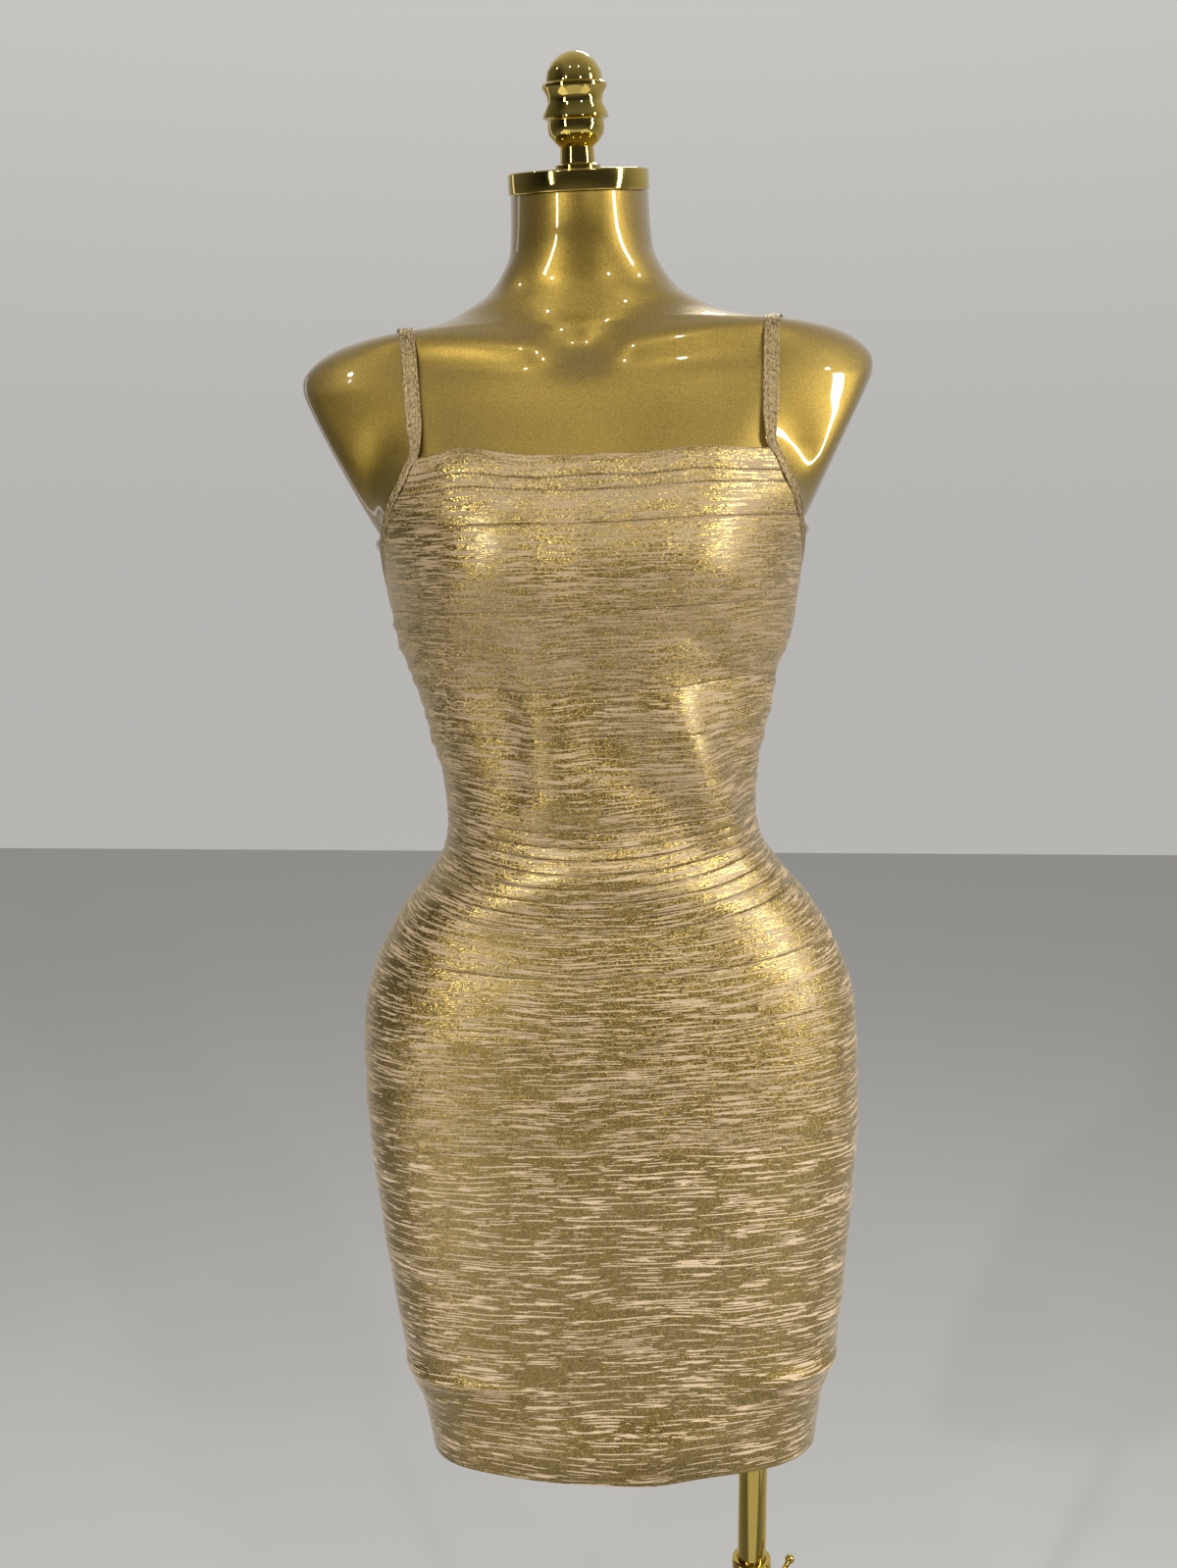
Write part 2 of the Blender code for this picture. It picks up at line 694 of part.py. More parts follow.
def build_dress(parent):
    for number in range(1, len(SEAMS)):
        dress_strip(f"front_strip_{number:02d}", number, FRONT_COLUMNS, True, parent)
        dress_strip(f"back_strip_{number:02d}", number, BACK_COLUMNS, False, parent)
    strap_loop("strap_right", -1, parent)
    strap_loop("strap_left", 1, parent)


# ---- The form ------------------------------------------------------------------------------------------

FORM_HEIGHTS = (
    0.7150, 0.7700, 0.8250, 0.8700, 0.9050, 0.9350, 0.9600, 0.9820, 1.0020, 1.0200, 1.0370, 1.0530,
    1.0690, 1.0870, 1.1120, 1.1400, 1.1680, 1.1900, 1.2100, 1.2300, 1.2450, 1.2600, 1.2750, 1.2880,
    1.3020, 1.3180, 1.3360, 1.3540, 1.3700, 1.3840, 1.3950, 1.4040, 1.4095, 1.4130, 1.4158, 1.4190,
    1.4240, 1.4310, 1.4410, 1.4550, 1.4750,
)
FORM_COLUMNS = 36


def build_form(parent):
    """The torso, closed and smooth, from its flat underside to the top of the neck."""
    turns = [2 * pi * column / FORM_COLUMNS for column in range(FORM_COLUMNS)]
    edge = FORM_BOTTOM_EDGE
    rings = []
    for angle in (0, 30, 60):
        inset = edge * (1 - sin(radians(angle)))
        drop = edge * cos(radians(angle))
        ring = []
        for turn in turns:
            point = figure_point(FORM_BOTTOM + edge, turn)
            outward = figure_normal(FORM_BOTTOM + edge, turn)
            outward.z = 0
            ring.append(Vector((*(point - outward.normalized() * inset).xy, FORM_BOTTOM + edge - drop)))
        rings.append(ring)
    rings += [[figure_point(height, turn) for turn in turns] for height in (*FORM_HEIGHTS, NECK_TOP)]
    points = [point for ring in rings for point in ring]
    count = len(turns)
    faces = []
    for row in range(len(rings) - 1):
        for column in range(count):
            after = (column + 1) % count
            low, high = row * count, (row + 1) * count
            faces += halved(points, [low + column, low + after, high + after, high + column])
    top = (len(rings) - 1) * count
    faces.append(list(range(count))[::-1])
    faces.append([top + column for column in range(count)])
    torso = add_piece("form_torso", points, faces, GOLD_PAINT, parent)
    face_outwards(torso)
    return torso


def neck_frame():
    """The place and tilt of the neck's top, with its own Z along the neck."""
    front, back = figure_point(NECK_TOP, 0.0), figure_point(NECK_TOP, pi)
    centre = (front + back) / 2
    slope = (back - front).normalized()
    upward = Vector((1, 0, 0)).cross(slope)
    return Matrix.Translation(centre) @ Matrix((Vector((1, 0, 0)), slope, upward)).transposed().to_4x4()


def build_cap_and_finial(parent):
    seat = add_empty("neck_seat", parent, neck_frame())
    round_edge = 0.0012
    low, high = GAP, GAP + CAP_THICKNESS
    cap = [
        (0.0, low), (CAP_RADIUS - round_edge, low), (CAP_RADIUS, low + round_edge),
        (CAP_RADIUS, high - round_edge), (CAP_RADIUS - round_edge, high), (0.0, high),
    ]
    turned("neck_cap", cap, 36, POLISHED_GOLD, seat)
    foot = high + GAP
    finial = [(0.0, foot)] + [(radius, foot + height) for height, radius in FINIAL]
    turned("finial", finial, 20, POLISHED_GOLD, seat)


# ---- The stand -----------------------------------------------------------------------------------------


def cut_from(piece, cutter):
    """Cuts a hole with a Boolean, and keeps the cutter out of the model."""
    modifier = piece.modifiers.new("cut", "BOOLEAN")
    modifier.operation = "DIFFERENCE"
    modifier.solver = "EXACT"
    modifier.object = cutter
    cutter.hide_render = True
    cutter.display_type = "WIRE"


def join_to(piece, other):
    modifier = piece.modifiers.new("join", "BOOLEAN")
    modifier.operation = "UNION"
    modifier.solver = "EXACT"
    modifier.object = other
    other.hide_render = True
    other.display_type = "WIRE"


def rod(name, radius, start, end, steps, look, parent):
    """A round bar between two points."""
    start, end = Vector(start), Vector(end)
    length = (end - start).length
    bar = turned(name, [(0, 0), (radius, 0), (radius, length), (0, length)], steps, look, parent)
    bar.matrix_local = Matrix.Translation(start) @ (end - start).to_track_quat("Z", "Y").to_matrix().to_4x4()
    return bar


def build_stand():
    """The base plate, its socket, the lower tube with its collar, and the screw that locks the height."""
    stand = add_empty("stand", None, Matrix())
    edge = 0.003
    base = [
        (0.0, 0.0), (BASE_RADIUS, 0.0), (BASE_RADIUS, BASE_THICKNESS - edge),
        (BASE_RADIUS - 0.0012, BASE_THICKNESS - 0.0010), (BASE_RADIUS - edge, BASE_THICKNESS),
        (0.0, BASE_THICKNESS),
    ]
    turned("base_plate", base, 40, POLISHED_GOLD, stand)

    pole_seat = add_empty("pole_seat", stand, Matrix.Translation((POLE_X, 0, 0)))
    foot = BASE_THICKNESS + GAP
    bore = TUBE_RADIUS + GAP
    socket = [
        (bore, foot), (SOCKET_RADIUS, foot), (SOCKET_RADIUS, foot + 0.004), (0.0215, foot + 0.009),
        (0.0185, SOCKET_TOP - 0.0015), (0.0172, SOCKET_TOP), (bore, SOCKET_TOP), (bore, foot),
    ]
    turned("base_socket", socket, 24, POLISHED_GOLD, pole_seat)

    collar_foot = TUBE_TOP - COLLAR_HEIGHT
    tube = [
        (TUBE_BORE, foot), (TUBE_RADIUS, foot), (TUBE_RADIUS, collar_foot),
        (COLLAR_RADIUS, collar_foot + 0.0015),
        (COLLAR_RADIUS, TUBE_TOP - 0.0015), (COLLAR_RADIUS - 0.0015, TUBE_TOP), (TUBE_BORE, TUBE_TOP),
        (TUBE_BORE, foot),
    ]
    lower = turned("pole_lower", tube, 24, POLISHED_GOLD, pole_seat)
    lock_axis = add_empty(
        "lock_axis", pole_seat, Matrix.Translation((0, 0, LOCK_HEIGHT)) @ Matrix.Rotation(LOCK_TURN, 4, "Z")
    )
    boss = rod(
        "boss_join", 0.0055, (COLLAR_RADIUS - 0.0018, 0, 0), (LOCK_BOSS_END, 0, 0), 16, POLISHED_GOLD, lock_axis
    )
    hole = rod(
        "lock_hole", LOCK_BORE, (TUBE_BORE - 0.0040, 0, 0), (LOCK_BOSS_END + 0.004, 0, 0), 16, POLISHED_GOLD,
        lock_axis,
    )
    join_to(lower, boss)
    cut_from(lower, hole)

    lock = rod(
        "lock_screw", LOCK_SHAFT, (POLE_RADIUS + GAP, 0, 0), (LOCK_END, 0, 0), 12, POLISHED_GOLD, lock_axis
    )
    hub = turned("lock_hub", ball_profile(0.0048), 12, POLISHED_GOLD, lock_axis)
    hub.location = (LOCK_HEAD, 0, 0)
    swing = Vector((0, sin(LOCK_TILT), cos(LOCK_TILT)))
    middle = Vector((LOCK_HEAD, 0, 0))
    bar = rod(
        "lock_bar", LOCK_BAR_RADIUS, middle - swing * LOCK_BAR_HALF, middle + swing * LOCK_BAR_HALF, 12,
        POLISHED_GOLD, lock_axis,
    )
    join_to(lock, hub)
    join_to(lock, bar)
    for end in (-1, 1):
        knob = turned(f"lock_knob_{end + 2}", ball_profile(0.0034), 10, POLISHED_GOLD, lock_axis)
        knob.location = middle + swing * LOCK_BAR_HALF * end
        join_to(lock, knob)
    return stand


def ball_profile(radius):
    angles = [radians(angle) for angle in (-90, -60, -30, 0, 30, 60, 90)]
    return [(radius * cos(angle), radius * sin(angle)) for angle in angles]


def build_pole(slide, figure):
    """The upper pole, which slides in the tube, and the flange under the form that sits on it."""
    seat = FORM_BOTTOM - GAP - FLANGE_THICKNESS
    axis = FIGURE_FRAME.inverted() @ Vector((POLE_X, 0, seat - SLEEVE_LENGTH / 2))
    top = (FIGURE_FRAME @ Vector((axis.x, 0, seat))).z - POLE_RADIUS * sin(LEAN) - GAP
    pole = [(0, POLE_BOTTOM), (POLE_RADIUS, POLE_BOTTOM), (POLE_RADIUS, top), (0, top)]
    turned("pole_upper", pole, 24, POLISHED_GOLD, slide)

    flange_seat = add_empty("flange_seat", figure, Matrix.Translation((axis.x, 0, seat)))
    flange = [
        (0.0, 0.0), (FLANGE_RADIUS - 0.001, 0.0), (FLANGE_RADIUS, 0.001), (FLANGE_RADIUS, FLANGE_THICKNESS),
        (0.0, FLANGE_THICKNESS),
    ]
    plate = turned("pole_flange", flange, 24, POLISHED_GOLD, flange_seat)
    sleeve = turned(
        "sleeve_join", ring_profile(SLEEVE_RADIUS, SLEEVE_BORE, -SLEEVE_LENGTH, 0.001), 24, POLISHED_GOLD,
        flange_seat,
    )
    join_to(plate, sleeve)


# ---- The whole ------------------------------------------------------------------------------------------

FIGURE_FRAME = (
    Matrix.Translation((FIGURE_X, 0, HEM_HEIGHT))
    @ Matrix.Rotation(-LEAN, 4, "Y")
    @ Matrix.Translation((0, 0, -HEM_HEIGHT))
)
stand = build_stand()
slide = add_empty("height_slide", stand, Matrix.Translation((POLE_X, 0, 0)))
figure = add_empty("figure", slide, Matrix.Translation((-POLE_X, 0, 0)) @ FIGURE_FRAME)
build_form(figure)
build_cap_and_finial(figure)
build_dress(figure)
build_pole(slide, figure)
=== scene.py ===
"""A bandage-knit bodycon dress, foil printed in gold, on a limbless dress form with its stand.

Metres and radians, +Z up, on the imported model's own frame, but for tables marked as millimetres and degrees.
The figure's front faces -Y and its left side is +X. A place on the figure is given by its height and its
turn, the angle round it from the front centre (0) over its left side (90 degrees) to the back centre (180
degrees).
"""
from functools import partial
from math import atan, cos, pi, radians, sin, tan

import bmesh
import bpy
import numpy as np
from mathutils import Matrix, Vector


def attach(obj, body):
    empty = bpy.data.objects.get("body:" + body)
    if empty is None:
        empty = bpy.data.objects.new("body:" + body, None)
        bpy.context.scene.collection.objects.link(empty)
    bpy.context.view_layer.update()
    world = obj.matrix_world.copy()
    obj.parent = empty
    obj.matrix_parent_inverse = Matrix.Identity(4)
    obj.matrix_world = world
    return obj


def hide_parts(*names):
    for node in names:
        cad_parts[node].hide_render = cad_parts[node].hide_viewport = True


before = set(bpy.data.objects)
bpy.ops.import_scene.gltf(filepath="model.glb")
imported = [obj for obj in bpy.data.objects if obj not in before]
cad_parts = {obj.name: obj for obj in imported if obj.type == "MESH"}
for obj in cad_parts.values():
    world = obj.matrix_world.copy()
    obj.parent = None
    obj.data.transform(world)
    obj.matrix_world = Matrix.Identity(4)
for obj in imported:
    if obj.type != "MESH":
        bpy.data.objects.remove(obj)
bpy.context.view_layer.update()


# ==== Camera ====
# It stands close in front of the dress at bust height, and looks slightly down and toward the figure's right.

CAMERA_TURN = radians(2.0)
CAMERA_DISTANCE = 0.98
CAMERA_AIM_X = -0.0305
CAMERA_HEIGHT = 1.24
CAMERA_DIP = atan(0.1293)
FRAME_HEIGHT_PX = 1599
FOCAL_LENGTH_PX = 1460

camera_data = bpy.data.cameras.new("camera")
camera_data.sensor_width = 36.0
camera_data.lens = camera_data.sensor_width * FOCAL_LENGTH_PX / FRAME_HEIGHT_PX
camera_data.clip_start = 0.05
camera = bpy.data.objects.new("camera", camera_data)
camera.location = (
    CAMERA_AIM_X + CAMERA_DISTANCE * sin(CAMERA_TURN), -CAMERA_DISTANCE * cos(CAMERA_TURN), CAMERA_HEIGHT
)
camera.rotation_euler = (pi / 2 - CAMERA_DIP, 0, CAMERA_TURN)
bpy.context.scene.collection.objects.link(camera)
bpy.context.scene.camera = camera


# ==== Form torso ====
# The limbless torso is a hollow moulding of glass fibre, sanded smooth and sprayed with a pearl gold lacquer
# under a clear coat. Flat shields close it where arms would start, and its flat underside has a small round
# rim.

MM = 1000  # millimetres in a metre
LEAN = radians(2.1)  # the figure stands a little askew on its pole
HEM_HEIGHT = 0.62  # the lean turns the figure about this height
FIGURE_X = -0.004
# Millimetres: height, half width, front and back of the figure, and its squareness
SECTIONS = (
    (1515, 45, 59, 31, 2), (1484.2, 45.8, 56, 36, 2), (1468.1, 47.2, 53, 43, 2), (1452.5, 54, 51, 53, 2),
    (1440, 64, 50, 62, 2), (1428.8, 82.7, 51, 69, 2), (1423, 96.6, 52, 71, 2), (1417.2, 124, 53.5, 73, 2),
    (1413.8, 152, 54.5, 74.5, 2), (1407, 172, 58, 78, 2), (1397.5, 185, 62, 82, 2.02),
    (1386.5, 192.5, 67, 86, 2.04), (1375.7, 196, 72, 90, 2.06), (1359.1, 196, 78, 95, 2.08),
    (1338.5, 190, 85, 100, 2.1), (1317.3, 176, 91, 103, 2.1), (1297.8, 159, 95, 104, 2.1),
    (1280, 145, 97, 103, 2.1), (1264, 138, 98, 101, 2.1), (1240.8, 133.5, 97, 97, 2.1),
    (1214.3, 128.5, 94, 92, 2.1), (1187.6, 117.5, 89, 87, 2.1), (1154, 110, 85, 80, 2.1),
    (1120, 103.5, 82.5, 76, 2.1), (1095, 102.2, 82, 76.5, 2.1), (1075.6, 105.6, 82.5, 80, 2.1),
    (1053.5, 119.7, 84, 87, 2.1), (1030.5, 138, 86.5, 96, 2.2), (999, 155.5, 90, 106, 2.2),
    (959.5, 167.3, 92.5, 116, 2.2), (919.5, 169.2, 93, 120, 2.2), (874, 168.6, 92, 117, 2.2),
    (825.9, 164.7, 90, 109, 2.2), (770.4, 159, 87, 98, 2.2), (716.5, 152, 84.5, 89, 2.2),
    (692.2, 146.8, 83.5, 85, 2.2), (681.6, 142.5, 82.5, 83, 2.2), (667.1, 139, 81.5, 81.5, 2.2),
    (648, 136.2, 80, 80, 2.2), (600, 132, 77, 77, 2.2),
)
NECK_TOP = 1.5035
NECK_ROOT = 1.440
NECK_TILT = tan(radians(13.5))
FORM_BOTTOM = 0.684
FORM_BOTTOM_EDGE = 0.006
# From the centre, height, how far forward, and the spread sideways, up and down
BUST = (0.070, 1.262, 0.031, 0.046, 0.050, 0.034)
SEAT = (0.068, 0.915, 0.012, 0.050, 0.060, 0.045)
# Thrust, height in the middle, slope and thickness, and how it fades in and out away from the middle
COLLARBONE = (0.0050, 1.3920, 0.155, 0.008)
COLLARBONE_REACH = ((0.012, 0.032, 0.110, 0.150), (0, 1, 1, 0))
THROAT_HOLLOW = (0.0070, 1.398, 0.013, 0.011)
SWELL_FADE = 0.6  # how softly the swells end at the figure's sides
ARM_CUT_TOP = 1.3757
ARM_CUT_X = 0.1870
ARM_CUT_SLOPE = tan(radians(26.5))
ARM_CUT_FACING = tan(radians(6))
ARM_CUT_EDGE = 0.012
ARM_CUT_EDGE_DEPTH = 0.003
ARM_CUT_END = 3.0  # how fast the cut runs out of the side under the armpit
ARMPIT = 1.286

FIGURE_FRAME = np.array(
    Matrix.Translation((FIGURE_X, 0, HEM_HEIGHT))
    @ Matrix.Rotation(-LEAN, 4, "Y")
    @ Matrix.Translation((0, 0, -HEM_HEIGHT))
)


def in_figure(points):
    """Points given upright, put where the leaning figure has them."""
    return np.asarray(points) @ FIGURE_FRAME[:3, :3].T + FIGURE_FRAME[:3, 3]


def eased(share):
    return share * share * (3 - 2 * share)


def smooth_curve(heights, values, fine):
    """A smooth curve through the rows that doesn't overshoot between them, read at many heights."""
    steps = np.diff(heights)
    rises = np.diff(values) / steps
    slopes = np.zeros(len(values))
    slopes[0], slopes[-1] = rises[0], rises[-1]
    for row in range(1, len(values) - 1):
        before, after = rises[row - 1], rises[row]
        if before * after > 0:
            near, far = 2 * steps[row] + steps[row - 1], steps[row] + 2 * steps[row - 1]
            slopes[row] = (near + far) / (near / before + far / after)
    row = np.clip(np.searchsorted(heights, fine) - 1, 0, len(heights) - 2)
    step = heights[row + 1] - heights[row]
    t = (fine - heights[row]) / step
    ends = values[row] * (1 - eased(t)) + values[row + 1] * eased(t)
    return ends + step * (slopes[row] * t * (1 - t) ** 2 - slopes[row + 1] * t * t * (1 - t))


section_rows = np.array(SECTIONS[::-1]) / (MM, MM, MM, MM, 1)
FINE_HEIGHTS = np.arange(section_rows[0, 0], section_rows[-1, 0], 0.0005)
FINE_SECTIONS = [smooth_curve(section_rows[:, 0], column, FINE_HEIGHTS) for column in section_rows.T[1:]]


def section(height):
    """Half width, front, back and squareness at each height."""
    return [np.interp(height, FINE_HEIGHTS, values) for values in FINE_SECTIONS]


def bell(distance, spread):
    return np.exp(-0.5 * (distance / spread) ** 2)


def apart(turn, degrees):
    """How many degrees a turn lies from a place round the figure."""
    return (np.degrees(turn) - degrees + 180) % 360 - 180


def swell(shape, x, height):
    """How far a pair of soft swells stands out at a place."""
    centre, level, forward, sideways, up, down = shape
    tall = bell(height - level, np.where(height > level, up, down))
    return forward * tall * (bell(x - centre, sideways) + bell(x + centre, sideways))


def front_shape(x, height):
    """What stands forward of the plain front: bust, collarbones and the hollow of the throat."""
    thrust, level, slope, thickness = COLLARBONE
    bones = thrust * np.interp(abs(x), *COLLARBONE_REACH) * bell(height - level - slope * abs(x), thickness)
    depth, hollow_height, sideways, up = THROAT_HOLLOW
    return swell(BUST, x, height) + bones - depth * bell(x, sideways) * bell(height - hollow_height, up)


def figure_points(height, turn):
    """The points of the figure's surface at heights and turns, upright."""
    height, turn = np.broadcast_arrays(np.asarray(height, float), np.asarray(turn, float))
    half_width, front, back, squareness = section(height)
    across, along = np.sin(turn), np.cos(turn)
    power = 2.0 / squareness
    x = half_width * np.sign(across) * abs(across) ** power
    depth, swelling = abs(along) ** power, abs(along) ** SWELL_FADE
    forward = -front * depth - front_shape(x, height) * swelling
    y = np.where(along > 0, forward, back * depth + swell(SEAT, x, height) * swelling)
    cut = ARM_CUT_X - (ARM_CUT_TOP - height) * ARM_CUT_SLOPE + y * ARM_CUT_FACING
    cut = cut + ARM_CUT_END * np.maximum(ARMPIT - height, 0.0)
    near = np.maximum(ARM_CUT_EDGE - abs(abs(x) - cut), 0.0) / ARM_CUT_EDGE
    x = np.sign(x) * (np.minimum(abs(x), cut) - ARM_CUT_EDGE_DEPTH * near * near)
    rise = np.clip((height - NECK_ROOT) / (NECK_TOP - NECK_ROOT), 0, 1)
    return np.stack([x, y, height + y * NECK_TILT * eased(rise)], axis=-1)


def unit(vectors):
    return vectors / np.maximum(np.linalg.norm(vectors, axis=-1, keepdims=True), 1e-12)


def surface_slopes(height, turn):
    """How the surface runs for each metre up and for each radian round."""
    step, swing = 0.001, radians(1.0)
    up = figure_points(height + step, turn) - figure_points(height - step, turn)
    around = figure_points(height, turn + swing) - figure_points(height, turn - swing)
    return up / (2 * step), around / (2 * swing)


def figure_normals(height, turn):
    """The outward directions of the surface at heights and turns."""
    up, around = surface_slopes(height, turn)
    return unit(np.cross(around, up))


def grid_faces(rows, columns, closed=False, first=0):
    """Four-sided faces between rows of points that run from the top down, as seen from outside."""
    spans = columns if closed else columns - 1
    row, column = np.meshgrid(np.arange(rows - 1), np.arange(spans), indexing="ij")
    after = (column + 1) % columns
    corners = ((row, column), (row + 1, column), (row + 1, after), (row, after))
    return np.stack([r * columns + c for r, c in corners], axis=-1).reshape(-1, 4) + first


def finished(name, mesh, looks, sharp=None):
    """A mesh as a piece with its materials, shaded smooth but for edges past an angle in degrees."""
    mesh.shade_smooth()
    if sharp:
        mesh.set_sharp_from_angle(angle=radians(sharp))
    for look in looks:
        mesh.materials.append(look)
    piece = bpy.data.objects.new(name, mesh)
    bpy.context.scene.collection.objects.link(piece)
    return piece


def add_piece(name, points, faces, *looks, sharp=None):
    """A piece from its points and faces."""
    mesh = bpy.data.meshes.new(name)
    mesh.from_pydata(np.asarray(points).reshape(-1, 3).tolist(), [], [list(face) for face in faces])
    mesh.update()
    return finished(name, mesh, looks, sharp)


def feed(node, **values):
    """Gives a node's inputs their values, by name or as _number. A value is a constant or a node's output."""
    for key, value in values.items():
        socket = node.inputs[int(key[1:])] if key[1:].isdigit() else node.inputs[key.replace("_", " ")]
        if isinstance(value, bpy.types.NodeSocket):
            node.id_data.links.new(value, socket)
        else:
            socket.default_value = value


def new_look(name, colour, roughness, metallic):
    """A material and its shader."""
    material = bpy.data.materials.new(name)
    material.use_nodes = True
    shader = material.node_tree.nodes["Principled BSDF"]
    feed(shader, Base_Color=(*colour, 1), Roughness=roughness, Metallic=metallic)
    return material, shader


def add_node(tree, kind, settings=(), **values):
    """Adds a node with its settings and values, and returns its outputs."""
    node = tree.nodes.new(f"ShaderNode{kind}")
    for key, value in dict(settings).items():
        setattr(node, key, value)
    feed(node, **values)
    return node.outputs


def calculate(tree, operation, *values, kind="Math"):
    """One step of arithmetic."""
    sockets = {f"_{place}": value for place, value in enumerate(values)}
    return add_node(tree, kind, {"operation": operation}, **sockets)[0]


def ramp_between(tree, value, low, high, to_low=0.0, to_high=1.0):
    """A soft step from to_low under low to to_high over high."""
    return add_node(
        tree, "MapRange", {"interpolation_type": "SMOOTHSTEP"}, Value=value, From_Min=low, From_Max=high,
        To_Min=to_low, To_Max=to_high,
    )["Result"]


def scaled(tree, colour, level):
    """A colour made lighter or darker."""
    return add_node(tree, "VectorMath", {"operation": "SCALE"}, _0=colour, Scale=level)[0]


def mixed(tree, share, colour, other):
    return add_node(tree, "Mix", {"data_type": "RGBA"}, _0=share, _6=colour, _7=other)[2]


def node_tools(tree):
    """The five functions above, for one tree."""
    return [partial(tool, tree) for tool in (add_node, calculate, ramp_between, scaled, mixed)]


def new_group(name, inputs, outputs):
    """A shader node group, the sockets of its inputs, and its output node."""
    group = bpy.data.node_groups.new(name, "ShaderNodeTree")
    for label, value in inputs.items():
        kind = "Vector" if value is None else "Color" if isinstance(value, tuple) else "Float"
        socket = group.interface.new_socket(label, in_out="INPUT", socket_type=f"NodeSocket{kind}")
        if value is not None:
            socket.default_value = value
    for label, kind in outputs.items():
        group.interface.new_socket(label, in_out="OUTPUT", socket_type=f"NodeSocket{kind}")
    return group, group.nodes.new("NodeGroupInput").outputs, group.nodes.new("NodeGroupOutput")


def place_group(tree, group, **values):
    return add_node(tree, "Group", {"node_tree": group}, **values)


def flake_group():
    """Metal flakes in a clear paint: each small cell is a little lighter or darker than the next."""
    group, given, out = new_group(
        "paint_flakes", {"Colour": (0.5, 0.35, 0.1, 1), "Flakes": 1900, "Contrast": 0.35},
        {"Colour": "Color", "Height": "Float"},
    )
    node, step, _, scale, _ = node_tools(group)
    place = node("TexCoord")["Object"]
    cells = node("TexVoronoi", Vector=place, Scale=given["Flakes"])["Color"]
    shade = node("SeparateColor", _0=cells)
    cloud = node("TexNoise", Vector=place, Scale=7.0, Detail=3.0)["Fac"]
    level = step("MULTIPLY_ADD", step("SUBTRACT", shade[0], 0.5), given["Contrast"], 1.0)
    level = step("MULTIPLY", level, step("MULTIPLY_ADD", cloud, 0.16, 0.92))
    feed(out, Colour=scale(given["Colour"], level), Height=shade[1])
    return group


LACQUER_COLOUR = (0.33, 0.22, 0.039)
gold_lacquer, shader = new_look("pearl_gold_lacquer", LACQUER_COLOUR, 0.40, 0.85)
tree = gold_lacquer.node_tree
flakes = place_group(tree, flake_group(), Colour=(*LACQUER_COLOUR, 1), Flakes=1900.0, Contrast=0.5)
bump = add_node(tree, "Bump", Strength=0.25, Distance=0.0001, Height=flakes["Height"])[0]
feed(shader, Base_Color=flakes["Colour"], Normal=bump, Coat_Weight=1.0, Coat_Roughness=0.035, Coat_IOR=1.55)

# Shallow folds in front of the armpits: the height and turn along them, and how they fade with the height
ARMPIT_FOLD = ((1.290, 1.302, 1.318, 1.335, 1.352), (66.0, 58.0, 50.0, 43.0, 40.0))
ARMPIT_FOLD_FADE = ((1.280, 1.290, 1.332, 1.362), (0, 1, 1, 0))
ARMPIT_FOLD_DEPTH = 0.0038
ARMPIT_FOLD_SPREAD = 5.0
TORSO_COLUMNS = 240
# Rows down the torso: from, to and how many
TORSO_STRETCHES = (
    (NECK_TOP, 1.430, 40), (1.430, 1.375, 60), (1.375, 1.27, 56), (1.27, FORM_BOTTOM + FORM_BOTTOM_EDGE, 90),
)


def armpit_fold(height, turn):
    """How deep the folds in front of the armpits lie."""
    away = abs(apart(turn, 0)) - np.interp(height, *ARMPIT_FOLD)
    return ARMPIT_FOLD_DEPTH * np.interp(height, *ARMPIT_FOLD_FADE) * bell(away, ARMPIT_FOLD_SPREAD)


torso_turns = np.linspace(0, 2 * pi, TORSO_COLUMNS, endpoint=False)
torso_heights = [np.linspace(*stretch)[1:] for stretch in TORSO_STRETCHES]
torso_heights = np.concatenate([[NECK_TOP], *torso_heights])
grid_height, grid_turn = np.meshgrid(torso_heights, torso_turns, indexing="ij")
outward = figure_normals(grid_height, grid_turn)
rings = list(figure_points(grid_height, grid_turn) - outward * armpit_fold(grid_height, grid_turn)[..., None])
rim_base, rim_out = rings[-1], unit(outward[-1] * (1, 1, 0))
for angle in np.radians((75, 60, 45, 30, 15, 0)):
    inset, drop = FORM_BOTTOM_EDGE * (1 - sin(angle)), FORM_BOTTOM_EDGE * cos(angle)
    rings.append(rim_base - rim_out * inset - np.array((0, 0, drop)))
torso_points = np.concatenate(rings)
torso_faces = grid_faces(len(rings), TORSO_COLUMNS, closed=True).tolist()
torso_faces.append(list(range(TORSO_COLUMNS)))
torso_faces.append(list(range(len(torso_points) - TORSO_COLUMNS, len(torso_points)))[::-1])
torso = add_piece("torso", in_figure(torso_points), torso_faces, gold_lacquer, sharp=50)
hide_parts("form_torso")
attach(torso, "figure")


# ==== Strips of knit ====
# The dress is made of bands of heavy stretch rib knit, sewn edge to edge round the body and joined at two
# side seams. The face is printed with a streaky gold foil over a pinkish beige yarn; the back of the knit is
# bare.

EASE = 0.0016  # from the form to the cloth
CLOTH = 0.0018  # thickness of the knit
GAP = 0.0003  # between pieces that don't touch
